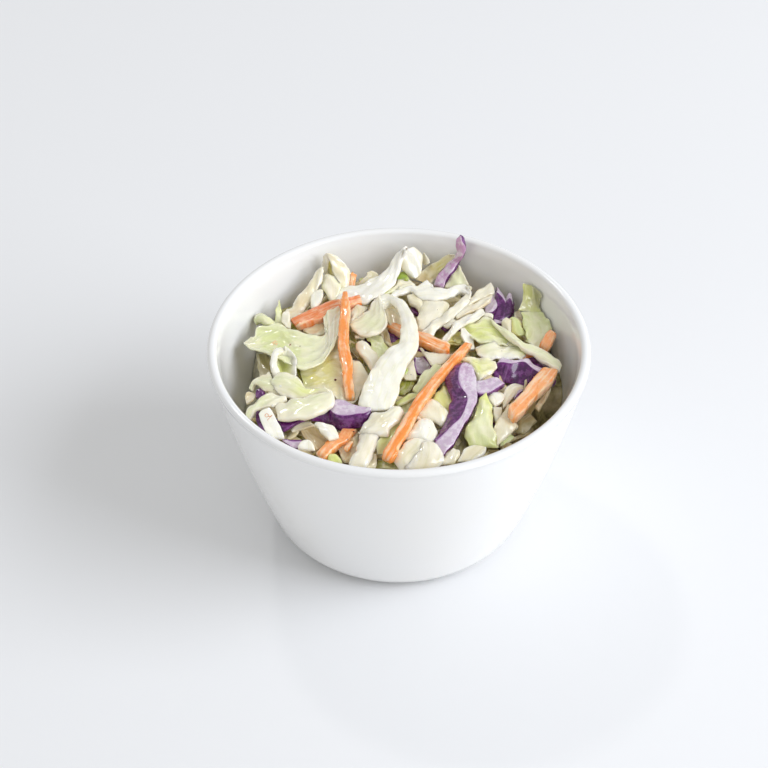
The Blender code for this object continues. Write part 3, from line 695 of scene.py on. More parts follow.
purpleRows = [
    # spike at the back
    dict(edges=[[(432.6, 287), (436.9, 277.6), (443.6, 270.6), (448.9, 262.9), (455.4, 256.4), (457, 251.1), (455.9,
         244.8), (458, 238.1), (459.9, 235.8)], [(444.2, 289), (446.5, 280.3), (452.9, 272.5), (459.6, 262.2), (464.1,
         255.5), (465.8, 247.5), (463.4, 240.8), (461, 235.8)]], lift=[2.5, 4.8, 7.2, 10.6, 13.4, 16.6, 18.6],
         thick=1.8, tone="mauve", edge="mauve", rim=0.1),
    # long forked piece: its dark skin, the corner, its cut face
    dict(edges=[[(461, 364.1), (448.9, 368.8), (445.4, 378.2), (447.6, 389.6), (451.6, 400.3), (449.7, 409.6), (446.2,
         420.4), (442.2, 431.3), (433.9, 442.9)], [(463.4, 364.1), (459.2, 368.8), (457.2, 378.8), (459.6, 388.2),
         (466.7, 397.6), (465.3, 408.3), (460.3, 419), (450.9, 427.3), (434.6, 443.1)], [(466.6, 363.6), (472.8,
         367.9), (475.4, 380.2), (477, 390.9), (476.8, 400.9), (470.6, 415), (462.3, 428.4), (455.6, 440.4), (443.8,
         456.2)]], lift=[[2.4, 2.9, 3.2, 3.2, 3.2, 3], [4.1, 4.7, 5, 5.1, 5, 4.7, 4.1], [3.9, 4.5, 4.8, 5, 4.8, 4.5,
         3.8]], skins=[1, 0.8, 0], thick=1.6, tone=["mauve", "lilac", "lilac", "lilac"]),
    # its branch
    dict(edges=[[(474.4, 383.1), (482.4, 382.3), (490.4, 379.9), (497.7, 378.6)], [(472.8, 390.6), (479.1, 396.5),
         (488.4, 395.2), (505.2, 385.8)]], lift=[4.1, 4.2, 4.2, 4.2], thick=2.2, skins=[0.5, 0.3, 0.8], rim=0.12),
    # wavy piece at the left: its cut face, the corner, its dark skin
    dict(edges=[[(309.7, 417.6), (318.6, 413.3), (327.6, 408.9), (333.3, 402.2), (341.6, 400.7), (349.9, 403), (357.5,
         406.3), (364.5, 407.6), (371.7, 405.6)], [(309.9, 417.9), (319.3, 414.2), (328.8, 409.6), (334.9, 415.3),
         (341.6, 417.7), (349.2, 417), (356.9, 415.4), (364.5, 414.7), (371.2, 411.4)], [(311.2, 419.6), (319.9,
         422.7), (328.2, 423.5), (334.6, 427), (341.3, 430.4), (348.6, 430.1), (355.4, 428.4), (361.7, 426.5), (369,
         416.5)]], lift=[[3.2, 3.6, 4.1, 4.4, 4.4, 4.4, 4.4], [3.2, 3.6, 4.1, 4.2, 4.2, 4.2, 4.2], [2.4, 1.4, 1, 0.8,
         0.8, 1.2, 2.9]], skins=[0, 0.8, 1], thick=1.2),
    # piece at the right: its cut rim, the corner, its dark skin
    dict(edges=[[(496.5, 362.8), (501.8, 358.7), (510.5, 360.8), (519.2, 360.4), (527.7, 359.2), (533.6, 364.8), (544,
         370.5)], [(496.6, 363.8), (502.5, 363.6), (511.2, 364.9), (519.2, 363), (525.3, 363.8), (531.7, 369.5),
         (539.7, 374.3)], [(493.1, 375.1), (499.8, 380.2), (506.2, 383.5), (514.5, 384.3), (522.6, 386.3), (529.5,
         385.3), (535.3, 378.8)]], lift=[[3.3, 3.6, 3.6, 3.6, 3.3], [3.3, 3.6, 3.6, 3.6, 3.3], [0.4, 0.2, 0.2, 0.2,
         1]], skins=[0, 0.8, 1], thick=1.2),
    # flap behind it
    dict(edges=[[(527.9, 359), (534.6, 358.2), (542, 362.5), (549.4, 367.9)], [(532.2, 363.8), (536.6, 366.8), (541.3,
         368.8), (545.4, 370.1)]], lift=[3.2, 3.2, 3], thick=0.8, skins=[0.9, 1]),
    # bit at the far right
    dict(edges=[[(549.4, 386.2), (552.7, 382.6), (556.1, 380.2)], [(551.4, 387.1), (554.5, 384.9), (556.1, 382.6)]],
         lift=[2.6, 2.7], thick=1.2, skins=[1, 0.9]),
    # two horns at the right back: rim, corner, dark skin
    dict(edges=[[(495.1, 287.6), (500.5, 293.4), (505.8, 299.3), (508.4, 295), (511.3, 293.9), (513.2, 301)], [(495.3,
         293), (500.9, 298.3), (505.4, 305), (508.4, 301.2), (511.1, 299.8), (513.2, 305)], [(497.1, 307.7), (493.9,
         318.8), (501.2, 319.9), (507.2, 318.7), (511.2, 316.7), (514, 310)]], lift=[[5.4, 4.4, 3.3, 4.2, 4.7, 4.1],
         [5.1, 4.1, 3, 3.8, 4.2, 3.8], [2.6, 1.2, 1, 1, 1.2, 2]], skins=[0.1, 0.78, 1], thick=1.2),
    # pale face beside it
    dict(edges=[[(483.7, 307.7), (489.8, 300.4), (493.8, 292.3), (495, 288.6)], [(485.4, 314), (493.1, 312.7), (497.9,
         305.7), (495.5, 298.3)]], lift=[3, 3.6, 4.4, 5], thick=1.2, skins=[0.1, 0.5], rim=0.08),
    # small pale bit under the strip
    dict(edges=[[(493.1, 320.4), (502.5, 322.5)], [(493.8, 323.8), (501.8, 325.1)]], lift=[2.9, 2.9], thick=1.2,
         skins=[0.1, 0.3]),
    # dark skin under the left hook
    dict(edges=[[(276.3, 419.3), (286.7, 420.1), (298.2, 418.7), (309.7, 417.8)], [(282.3, 432.1), (289.3, 428),
         (296.9, 423.5), (308.4, 419.3)]], lift=[2.6, 2.7, 2.9, 3], thick=1.2, skins=[1, 1]),
    # dark strip left of the white stick
    dict(edges=[[(256.4, 409.5), (256.1, 419.1), (259.9, 428), (267.6, 435)], [(259.7, 408.9), (261, 417.8), (264.4,
         426.7), (271.4, 435)]], lift=[1.6, 1.6, 1.4, 1.2], thick=2.4, skins=[1, 1]),
    # dark top between the two hooks
    dict(edges=[[(255.9, 398.9), (257.4, 391.7), (261, 389.5)], [(261.2, 399.9), (264.4, 397.4), (266.1, 392.9)]],
         lift=[1.8, 2.6, 2.7], thick=2, skins=[1, 0.9]),
    # strip at the front left rim
    dict(edges=[[(281.6, 439.2), (291.8, 440.4), (302.7, 440.1)], [(282.9, 442), (294.4, 448.4), (300.8, 446.9)]],
         lift=[2.2, 2.4, 2.2], thick=1, skins=[0.86, 0.4], rim=0.14),
    # cup in the middle
    dict(edges=[[(414.4, 356.9), (413, 365.4), (416.8, 373.5)], [(424.2, 356.6), (432.6, 364.4), (428.6, 372.4)]],
         lift=[1.8, 1.4, 1.2], thick=0.8, bulge=-1.1, tone="grey", edge="grey", skins=[1, 0.1, 1], rim=0.12),
    # bit above the cup
    dict(edges=[[(417.5, 341.1), (417.3, 351.4)], [(421.5, 341.1), (429.1, 351)]], lift=[0.6, 0.8], thick=1.2,
         skins=[1, 0.8]),
    # dark piece behind the hook
    dict(edges=[[(386.9, 329.9), (388.8, 339.3), (391.6, 344)], [(400, 337.9), (400.7, 341.2), (398, 343.9)]],
         lift=[0.2, 0.2], thick=1.2, skins=[1, 1]),
    # dark bit right of the hook
    dict(edges=[[(410.1, 307.7), (413.4, 313.7), (417.5, 315.8)], [(413.4, 307), (418.8, 312.4), (419.7, 315.4)]],
         lift=[1.4, 1.4], thick=1.2, skins=[1, 1]),
    # dark strip under the pointed white piece
    dict(edges=[[(437.5, 325.5), (448.9, 324.5), (461, 327.1)], [(443.6, 329.8), (450.3, 330.1), (460.7, 331.2)]],
         lift=[2.2, 2.2, 2.4], thick=1.4, skins=[1, 1]),
    # dark bit under the right leaf
    dict(edges=[[(492, 374.6), (495.8, 370.8), (497.1, 368.8)], [(493.8, 378.2), (498.5, 378.8), (499.1, 374.8)]],
         lift=[1.4, 1.4], thick=1.4, skins=[0.9, 1]),
    # faint piece behind the thick carrot
    dict(edges=[[(513.2, 398.9), (517.2, 392.2), (523.9, 389.8)], [(515.2, 400.9), (518.6, 397.6), (521.9, 393.6)]],
         lift=[2, 2.4, 2.6], thick=1.2, skins=[0.6, 0.9]),
]
purpleBasics = dict(thick=1.6, square=5.0, tone="lilac", edge="lilac", ruffle=0.08, rough=0.8, round=0.4, crease=0.16)

whiteRows = [
    # big hook
    dict(edges=[[(374.1, 302.9), (377.9, 297.6), (388.8, 295.3), (398, 298.7), (405.4, 303.3), (410.8, 311.1), (414.8,
         319.8), (418.1, 330.5), (418.5, 340.5), (417.6, 346.7), (413.4, 356.1), (406.7, 365.4), (403.4, 374.2),
         (399.9, 382.9), (398.3, 392.9), (393.3, 404), (390.1, 409.9)], [(382.4, 318.2), (385.2, 309.9), (391.3,
         305.2), (392.9, 305.7), (397.5, 310), (399.9, 317.1), (401.2, 325.8), (400.7, 334.5), (399.2, 343.8), (391.3,
         347.9), (382.4, 356.3), (374.7, 366.1), (369, 377), (364.2, 385.9), (360.7, 396.1), (359.4, 405.1), (364.5,
         413)]], lift=[[3.5, 4.7, 5.6, 6.1, 6.3, 6.3, 6.3, 6.2, 5.9, 5.6, 5.1, 4.5, 3.9], [2.9, 3.9, 4.8, 5.4, 5.7,
         5.9, 5.9, 5.9, 5.7, 5.4, 5, 4.4, 3.6]], thick=1.4, bulge=0.35, tone="bright", edge="white", crease=0.16,
         rough=0.6),
    # sheet at the hook's left
    dict(edges=[[(378.8, 297.3), (373.5, 302.3), (369.4, 309.5), (360.2, 316.7), (350.5, 321.8), (349.5, 325.9)],
         [(383.7, 306.7), (387.2, 320.8), (382.7, 330.3), (369.6, 336.5), (358.8, 335.1), (353.1, 329.4)]], lift=[5.1,
         4.8, 4.4, 3.9, 3.5, 3.2], thick=1, bulge=0.28, tone=["white", "pale", "white"], edge="white", crease=0.2),
    # inner side of the hook's loop, in beige: painted shade on the loop's inside
    dict(edges=[[(383.9, 308), (387.5, 316.9), (388.1, 322), (391.3, 329.7)], [(395.4, 309.5), (399.6, 316.4), (401.2,
         325.8), (401.4, 336.5)]], lift=[3.6, 3.2, 2.6, 1.6], thick=1, tone="beige", edge="cream", bulge=-0.56),
    # ribbon at the back, rising to its fold
    dict(edges=[[(335.2, 296.5), (340.9, 288.2), (356.9, 285.8), (365.8, 282.8), (375.4, 278), (384.3, 272), (391.3,
         262.1), (397.1, 254.2), (402.7, 249.7), (408.7, 247.2)], [(335.5, 304.2), (350.5, 301.6), (364.5, 303.5),
         (372.2, 299.3), (382.4, 294.2), (393.2, 285.1), (397.4, 276.1), (400.3, 268.5), (402.1, 260.2), (404.7,
         252.1)]], lift=[[3.2, 4.1, 4.5, 5.1, 6.2, 7.7, 9.5, 10.9, 11.6], [2.7, 3.3, 3.9, 4.4, 5.1, 6.2, 7.7, 9.3,
         11.4]], thick=0.9, bulge=0.3, tone="bright", edge="bright", crease=0.2),
    # ribbon's far side, coming down
    dict(edges=[[(403.1, 249.7), (400.7, 258.8), (401.2, 267.1), (406.7, 273.8), (412.1, 278.9)], [(413.8, 246.8),
         (421.5, 253.5), (422.3, 264.2), (419.7, 273.8), (415.4, 279.1)]], lift=[11.6, 9.5, 7.1, 5.1, 3.9], thick=1,
         bulge=0.35, square=6, tone="bright", edge="cream"),
    # small flap at the back left
    dict(edges=[[(358.2, 283.8), (366.5, 276.1), (366.8, 272)], [(365.8, 284.4), (378.6, 276.1), (372.2, 271)]],
         lift=[3.3, 4.7, 5.6], thick=0.9, tone="cream", edge="cream"),
    # band behind the hook
    dict(edges=[[(387.3, 297), (398, 289.9), (408.7, 287), (417.5, 285.9), (428.2, 282.1), (433.1, 288), (443.6, 289),
         (454.3, 286.6), (463.7, 285), (470.1, 289)], [(390, 300.6), (402.1, 295), (410.8, 292.3), (420.1, 299),
         (431.5, 300.6), (443.6, 299), (452.9, 296.6), (459.6, 293.4), (465, 295), (469, 299)]], lift=[[4.1, 4.5, 4.8,
         5.1, 5.3, 5.3, 5.4], [3.6, 4.1, 4.2, 4.4, 4.5, 4.7, 4.8]], thick=1.1, bulge=0.35, tone="bright",
         edge="bright", crease=0.2),
    # its limb that turns down
    dict(edges=[[(463.9, 287), (465, 295), (457, 303), (447.6, 311.1), (436.9, 319.1), (426.2, 327.1), (420.1,
         333.8)], [(470.4, 288.3), (471.2, 296.6), (466.6, 305.7), (457.6, 313.7), (448.9, 322), (439.8, 327.5),
         (432.2, 337.2)]], lift=[5.4, 5.1, 4.7, 4.2, 3.8, 3.2, 2.4], thick=0.9, bulge=0.35, tone="white",
         edge="white"),
    # broad sheet under it
    dict(edges=[[(423.5, 300.4), (421.5, 308.4), (417.5, 319.8), (418.4, 331.2)], [(448.9, 303.7), (447.6, 312.4),
         (438.2, 323.1), (432.6, 335.2)]], lift=[3.6, 3.6, 3.2, 2.4], thick=1, bulge=0.42, tone="white", edge="cream",
         crease=0.15),
    # small curl behind the hook
    dict(edges=[[(407.1, 296.1), (410.1, 303.3), (415.4, 307), (419.2, 314.4)], [(416.1, 293), (420.8, 300.4), (424.6,
         305.7), (422.1, 316.4)]], lift=[3.9, 3.6, 3.2, 2.6], thick=1.1, bulge=0.35, tone="cream", edge="white"),
    # upper cut strip
    dict(edges=[[(463, 307.7), (469.3, 300.4), (477, 292.3), (483.7, 287.2), (490.7, 283.9)], [(463.4, 309.5), (475.7,
         302), (486.7, 296.1), (494.7, 293.1), (494.2, 287.2)]], lift=[4.2, 4.7, 5.1, 5.4, 5.6], thick=1.1,
         tone="white", edge="cream"),
    # lower cut strip
    dict(edges=[[(454.3, 315.9), (465, 307.7), (477, 303), (486.4, 297.1), (494.2, 294.7)], [(457, 319.9), (467.9,
         314), (477, 309.5), (484, 305.7), (489.8, 302.8)]], lift=[3.6, 4.1, 4.5, 5, 5.1], thick=1.1, tone="white",
         edge="beige"),
    # forked strip
    dict(edges=[[(483.7, 310), (475.7, 312.1), (465, 316.7), (457, 322), (451.6, 327.4), (446.2, 334.1), (441.3,
         340.8)], [(485.4, 314.5), (478.4, 318), (469, 323.4), (461, 327.4), (454.3, 332.8), (448.9, 338.1), (444.6,
         342.1)]], lift=[4.7, 5, 5, 4.7, 4.1, 3.5, 2.7], thick=1, tone="bright", edge="white"),
    # its other tip
    dict(edges=[[(482.4, 312.4), (488.4, 313.3), (493.4, 315.8)], [(482.4, 315.8), (488.4, 316.7), (492.9, 318.8)]],
         lift=[4.4, 4.4, 4.2], thick=1.2),
    # pointed piece
    dict(edges=[[(436.6, 322), (442.9, 315.6), (447.9, 313.7), (454, 319.4), (457.6, 322.5)], [(438.5, 325.1), (444.9,
         326.1), (448.9, 325.8), (452.9, 325.3), (457, 324.2)]], lift=[2.9, 3.3, 3.6, 3.5, 3.2], thick=0.9),
    # curl by the carrot's end
    dict(edges=[[(460.6, 328.7), (460.7, 335.4), (464.5, 341.3), (469, 349.2)], [(463.7, 327.9), (468.7, 332.8),
         (472.5, 338.9), (475.2, 349.2)]], lift=[4.1, 3.8, 3.3, 2.7], thick=1, bulge=-0.35, tone="bright",
         edge="white"),
    # pale rib of the long leaf
    dict(edges=[[(489.1, 319.1), (501.2, 327.1), (513.2, 335.8), (525.3, 342.9), (538.7, 348.7), (548, 353.4), (556.1,
         359.2), (562.8, 365.7)], [(492.5, 324.2), (502.5, 333.8), (511.9, 341.2), (520.6, 348.2), (533.3, 355), (544,
         361.7), (551.4, 368.4), (558.5, 372.1)]], lift=[4.7, 5.1, 5.4, 5.6, 5.6, 5.4, 5.1], thick=1.2, bulge=0.28,
         tone="pale", edge="white", round=0.9),
    # upright limb of the green curl
    dict(edges=[[(502, 327.8), (502.2, 321.5), (506.8, 318.2)], [(511.2, 334.1), (511.2, 326.5), (512.9, 320.7)]],
         lift=[3.2, 4.1, 4.5], thick=0.9, tone="cream", edge="white"),
    # left limb of the folded piece
    dict(edges=[[(276.5, 379.8), (272.1, 373.4), (271.2, 363), (272.7, 353), (278.1, 347.1)], [(281.6, 376.4), (278.8,
         370.6), (277, 363.6), (278.1, 356.6), (282.9, 351.7)]], lift=[3.3, 4.1, 4.7, 5.2, 5.6], thick=1.2, bulge=0.3,
         tone="bright", edge="white", crease=0.15),
    # drooping tip at the left
    dict(edges=[[(250, 389.5), (252.6, 381.8), (261.2, 376.5), (271.4, 373.4)], [(252.3, 391.8), (256.1, 384.9),
         (264.4, 390.8), (277.2, 394.2)]], lift=[1.8, 3, 3.6, 3.9], thick=1, bulge=0.35, tone="pale", edge="cream"),
    # left hook, upper limb
    dict(edges=[[(272.2, 379.8), (279.1, 374.4), (289.3, 374.4), (298.5, 378.6), (305.6, 387.7), (314.8, 390.4),
         (323.7, 389.2), (331.6, 392)], [(271.4, 384.4), (276.5, 391.5), (284.2, 395.7), (293.1, 398.7), (303.3,
         399.1), (311, 396.4), (319.6, 394.1), (327.6, 396.4)]], lift=[3.6, 4.2, 4.4, 4.4, 4.2, 4.4, 4.7, 5],
         thick=1.2, bulge=0.63, tone=["pale", "pale", "sun", "cream"], edge="white", crease=0.25),
    # left hook, lower limb
    dict(edges=[[(331.1, 391.5), (325.6, 393.6), (318.6, 394.6), (311, 397.1), (302, 399.2), (291.8, 400.2), (287,
         403.8), (276.5, 405.6)], [(334.7, 397.1), (333.9, 404.4), (327.6, 409.4), (318.6, 414.5), (309.7, 417.9),
         (298.2, 418.8), (288, 420.4), (276.3, 419.8)]], lift=[5.1, 5.4, 5.6, 5.4, 5.3, 5.1, 4.8, 4.5], thick=1.7,
         bulge=0.42, tone=["white", "pale", "pale", "white"], edge="white", crease=0.16, rough=0.7),
    # arch at the left
    dict(edges=[[(245.9, 417.3), (246.9, 409.5), (254.8, 403.8), (261.2, 397.7), (271.4, 394.6), (280.4, 396.6), (287,
         398.9)], [(250.4, 420.6), (254.2, 413.6), (258.9, 409.1), (264.4, 407.6), (272.1, 407.1), (280.6, 404),
         (287.4, 401.5)]], lift=[3, 4.1, 4.7, 5, 5, 4.7], thick=1.2, bulge=0.28, tone=["pale", "pale", "white"],
         edge="white"),
    # white stick at the left front
    dict(edges=[[(262.2, 409.9), (259.2, 415.5), (261.9, 423.2), (265.6, 431.3), (269.5, 438.5)], [(269.5, 408.1),
         (274.2, 415.5), (278.1, 423.2), (281.9, 431.3), (284.4, 438.2)]], lift=[5.4, 4.8, 4.4, 4.1], thick=1.7,
         square=7, tone="bright", edge="bright", crease=0.1, rough=0.5),
    # grey bit by the wall, left
    dict(edges=[[(244.6, 398.4), (247.4, 393.6), (254.8, 392.6)], [(247.2, 404), (252.6, 401.5), (256.8, 396.4)]],
         lift=[1.8, 2, 1.8], thick=1, tone="beige", edge="beige"),
    # wedge at the front left
    dict(edges=[[(313.9, 424.2), (318.6, 429.3), (324.4, 435.2), (329.6, 441.3)], [(315.4, 423.2), (326.5, 424.2),
         (335.5, 428.8), (339, 437.2)]], lift=[4.1, 4.2, 4.2, 4.1], thick=1.4, tone="bright", edge="white"),
    # lump at the front left rim
    dict(edges=[[(304, 440.8), (300.5, 444.8), (297.4, 449.4)], [(309.4, 441), (313.3, 444.8), (315.6, 450.5)]],
         lift=[3.5, 3.6, 3.5], thick=1.7, tone="bright", edge="white"),
    # shaded sheet behind the wedge
    dict(edges=[[(289.3, 429.9), (299.5, 423.5), (309.9, 421.6)], [(293.1, 432.5), (303.6, 429.5), (315.4, 425.7)]],
         lift=[1.4, 1.8, 2], thick=1, tone="cream", edge="beige"),
    # tan sheet at the front left
    dict(edges=[[(301.4, 428), (302, 434.4), (309.7, 442), (315.4, 451)], [(314.8, 424.2), (322.4, 434.4), (328.8,
         440.8), (330.1, 442)]], lift=[1.2, 1.2, 1.2], thick=1, tone="tan", edge="tan"),
    # tan sheet at the front
    dict(edges=[[(339, 448.4), (341.6, 457.3), (344.1, 463.1)], [(356.9, 431.8), (358.2, 445.9), (353.1, 461.2)]],
         lift=[1.2, 1.2, 1.4], thick=1, tone="tan", edge="cream"),
    # broad piece under the hook's end
    dict(edges=[[(400.5, 405.8), (392.6, 407.6), (383.7, 413.3), (373.7, 414.2), (365.8, 422.9), (357.9, 434.1)],
         [(404.3, 414.6), (399, 421), (390.3, 428.3), (387.8, 435.7), (377.3, 436.7), (364.5, 437.4)]], lift=[3.6,
         4.1, 4.2, 3.9, 3.6, 3.3], thick=2, bulge=0.42, tone=["bright", "cream", "white"], edge="bright", crease=0.2,
         square=2.8, round=1.2),
    # stick at the front
    dict(edges=[[(362.2, 429.3), (356.4, 448.4), (352, 458.6), (348, 467.6)], [(381.1, 428), (375.5, 448.4), (370.9,
         458.6), (365.8, 468.8)]], lift=[2.6, 3.5, 3.9, 3.8], thick=2.3, bulge=0.42, tone="white", edge="bright",
         crease=0.16, square=3.2),
    # bit beside that stick
    dict(edges=[[(372.4, 453.5), (368.6, 461.2), (366.5, 468.2)], [(377.6, 454.8), (377, 462.4), (374.7, 468.2)]],
         lift=[2.4, 2.7, 2.7], thick=1.3, tone="cream", edge="cream"),
    # yellowish sheet left of the long carrot
    dict(edges=[[(396.4, 414), (384.9, 431.8), (377.3, 442), (376.7, 453.5)], [(409.2, 411.4), (402.8, 429.3), (393.9,
         442), (386.5, 454.2)]], lift=[3.3, 3.2, 3, 2.7], thick=1, tone=["pale", "lime", "straw"], edge="pale",
         bulge=-0.3),
    # oval stick in the middle
    dict(edges=[[(358.8, 341), (356.1, 347), (359.7, 354.7), (364.5, 361), (371.6, 371)], [(363.9, 340.8), (371.6,
         348.3), (376.7, 354.7), (378.3, 363), (376.7, 370)]], lift=[3, 3, 2.7, 2.2], thick=1.4, bulge=0.3,
         tone="white", edge="cream", round=1),
    # nodules under the sheet
    dict(edges=[[(354.6, 335.4), (354.1, 338.6)], [(364.5, 335.4), (363.9, 338.6)]], lift=[2.6, 2.6], thick=1,
         tone="white"),
    # piece right of the hook's bottom
    dict(edges=[[(405.8, 364.9), (402.9, 374.8), (404.7, 380.2)], [(413.6, 360.1), (415.7, 372.1), (415.4, 380.2)]],
         lift=[2.2, 2.4, 2], thick=1, tone="white", edge="cream"),
    # beige sheet under the carrot stick
    dict(edges=[[(420.1, 348), (424.8, 352.1), (434.2, 354.7)], [(430.2, 365.4), (443.6, 364.1), (452.9, 353.4)]],
         lift=[2.4, 2.6, 2.6], thick=1, tone="white", edge="cream", crease=0.1),
    # thin arch in the front middle
    dict(edges=[[(394.8, 403.2), (402.1, 397.6), (411.4, 394.1), (420.5, 393.3)], [(397, 407.2), (404.7, 403.7), (413,
         399.2), (419.7, 396)]], lift=[2.6, 3, 3, 2.7], thick=1.1, tone="lime", edge="pale"),
    # lump right of the long carrot
    dict(edges=[[(429.1, 401.3), (422.9, 408), (418.5, 416.3), (430.2, 422)], [(435.3, 400.9), (443, 407), (448.9,
         415.8), (442.5, 426.4)]], lift=[3, 3.5, 3.5, 2.7], thick=1.7, bulge=0.63, tone=["white", "cream", "white"],
         edge="white", crease=0.2, square=2.8, round=1.2),
    # lump under it
    dict(edges=[[(421.1, 418.7), (413, 427.3), (403.4, 441.8)], [(430.2, 419.8), (436.3, 431.3), (434.2, 445.8)]],
         lift=[3.5, 3.8, 3.5], thick=2.3, bulge=0.49, tone="bright", edge="white", crease=0.2, square=2.8, round=1.2),
    # sheet between the lumps and the carrot
    dict(edges=[[(415.4, 402.9), (411.4, 415), (415.4, 420.4)], [(424.8, 402.9), (418.8, 415), (423.5, 420.4)]],
         lift=[3.2, 3.5, 3.3], thick=1.2, tone="white", edge="pale"),
    # folded piece at the front rim, its left lobe
    dict(edges=[[(413, 437.8), (402.1, 447.1), (394, 459.2), (398, 469.2)], [(428.8, 440.7), (425.1, 453.8), (415.4,
         463.2), (414.8, 471.9)]], lift=[3.6, 4.1, 3.9, 3.3], thick=2.2, bulge=0.49, tone=["white", "cream", "white"],
         edge="bright", crease=0.16, square=2.8, round=1.2),
    # its right lobe
    dict(edges=[[(420.1, 443.1), (412.8, 455.2), (406.1, 465.9), (407.4, 471.9)], [(430.8, 441.8), (441.6, 451.2),
         (443, 462.5), (430.2, 471.9)]], lift=[3.6, 4.2, 4.1, 3.3], thick=2.2, bulge=0.63, tone=["white", "white",
         "cream"], edge="bright", crease=0.16, square=2.8, round=1.2),
    # lump right of it
    dict(edges=[[(452.9, 448.5), (447.6, 453.8), (440.9, 463.9)], [(457.4, 450.9), (460.7, 454.6), (452.9, 464.5)]],
         lift=[3.3, 3.5, 3.2], thick=1.6, tone="white", edge="cream"),
    # disc at the front rim
    dict(edges=[[(477, 445.8), (466.3, 448.7), (457, 460.5)], [(487.5, 447.8), (483.7, 453.6), (471.7, 461.9)]],
         lift=[3.3, 3.6, 3.3], thick=1.4, tone="cream", edge="bright", round=1, crease=0.1),
    # cube right of the leaf
    dict(edges=[[(487.2, 397.3), (490.4, 403.2), (493.9, 408)], [(496.1, 391.4), (504.1, 396.2), (502, 403.2)]],
         lift=[3.3, 3.5, 3.2], thick=1.6, tone="bright", edge="white"),
    # strip under the cube
    dict(edges=[[(492.3, 407.8), (493.9, 416.3), (497.1, 424.1)], [(502.2, 407.5), (501.4, 415), (499.5, 420.9)]],
         lift=[3, 3.2, 2.9], thick=1.3, square=6, tone="white", edge="cream"),
    # cream sheet at the right front
    dict(edges=[[(508.5, 404.6), (501.4, 415), (494.9, 426.4), (496.6, 447.1)], [(511.6, 411), (510.3, 421.7), (516.6,
         427.3), (504.1, 439.8)]], lift=[3.2, 3.6, 3.8, 3], thick=1.2, bulge=0.28, tone="cream", edge="beige"),
    # its ragged edge
    dict(edges=[[(505.2, 425.7), (510.5, 428.4), (505.8, 435.8)], [(515.9, 422.4), (517.9, 428.4), (510.5, 434.4)]],
         lift=[2.7, 2.9, 2.6], thick=1, tone="tan", edge="cream"),
    # cream piece under the purple one, right
    dict(edges=[[(524.2, 386.1), (514.5, 384.2), (506, 388.2), (501.6, 397.9)], [(521.9, 393.6), (514, 396.2), (508.1,
         403.2), (503.3, 409.4)]], lift=[2, 2.6, 2.9, 2.7], thick=1, bulge=0.28, tone="cream", edge="white"),
    # shaded leaf at the right front
    dict(edges=[[(529.3, 412.1), (518.8, 420.4), (515.4, 432.4)], [(536.2, 422), (532.2, 426.4), (523.9, 434.4)]],
         lift=[1.4, 1.6, 1.2], thick=1, tone="shade", edge="shade"),
    # shaded strip at the right
    dict(edges=[[(552.3, 384.9), (542, 397.6), (534.6, 407.6)], [(549.6, 393.8), (544.3, 403.2), (538.9, 411.6)]],
         lift=[2.6, 2.7, 2.4], thick=1.2, tone="beige", edge="tan"),
    # oval at the back left
    dict(edges=[[(312.5, 291.7), (310.6, 299.1), (311.5, 307), (313.5, 309.5)], [(321.2, 289.3), (323.7, 294.2),
         (321.2, 301.9), (317.1, 308.3)]], lift=[4.5, 4.8, 4.4, 3.9], thick=1.6, tone="bright", edge="white",
         round=1),
    # folded piece at the back left
    dict(edges=[[(324.7, 274.8), (322.7, 281.5), (322.2, 287.9), (325.6, 294.2), (329.5, 301.9)], [(329.8, 274.8),
         (335.5, 279.9), (340.6, 287.1), (338.5, 293.7), (334.2, 302.7)]], lift=[6.6, 6, 5.1, 4.1, 3], thick=1.2,
         bulge=0.35, tone="white", edge="pale"),
    # flap in front of the tall leaf
    dict(edges=[[(281.9, 314.6), (281.6, 320.1), (285.7, 328.2)], [(288, 308), (290.8, 318.2), (290.3, 328.7)]],
         lift=[3.9, 3.6, 3.2], thick=1, tone="white", edge="cream"),
    # sheet under the crossing carrots
    dict(edges=[[(351.1, 309.3), (350.5, 315.7), (350.5, 322)], [(359.4, 304.8), (367.1, 308), (360.5, 316.7)]],
         lift=[3.3, 3.3, 3.2], thick=1, tone="cream", edge="white"),
    # sheet below the crossing carrot
    dict(edges=[[(302, 331), (312.2, 325.9), (322.7, 320.8)], [(309.7, 335.4), (318.6, 336.3), (325.6, 332.2)]],
         lift=[2, 2.2, 2.4], thick=1, tone="beige", edge="cream"),
]
whiteBasics = dict(thick=1.2, square=6.0, tone="white", edge="white", ruffle=0.18, rough=1.0, round=0.5, crease=0.34)

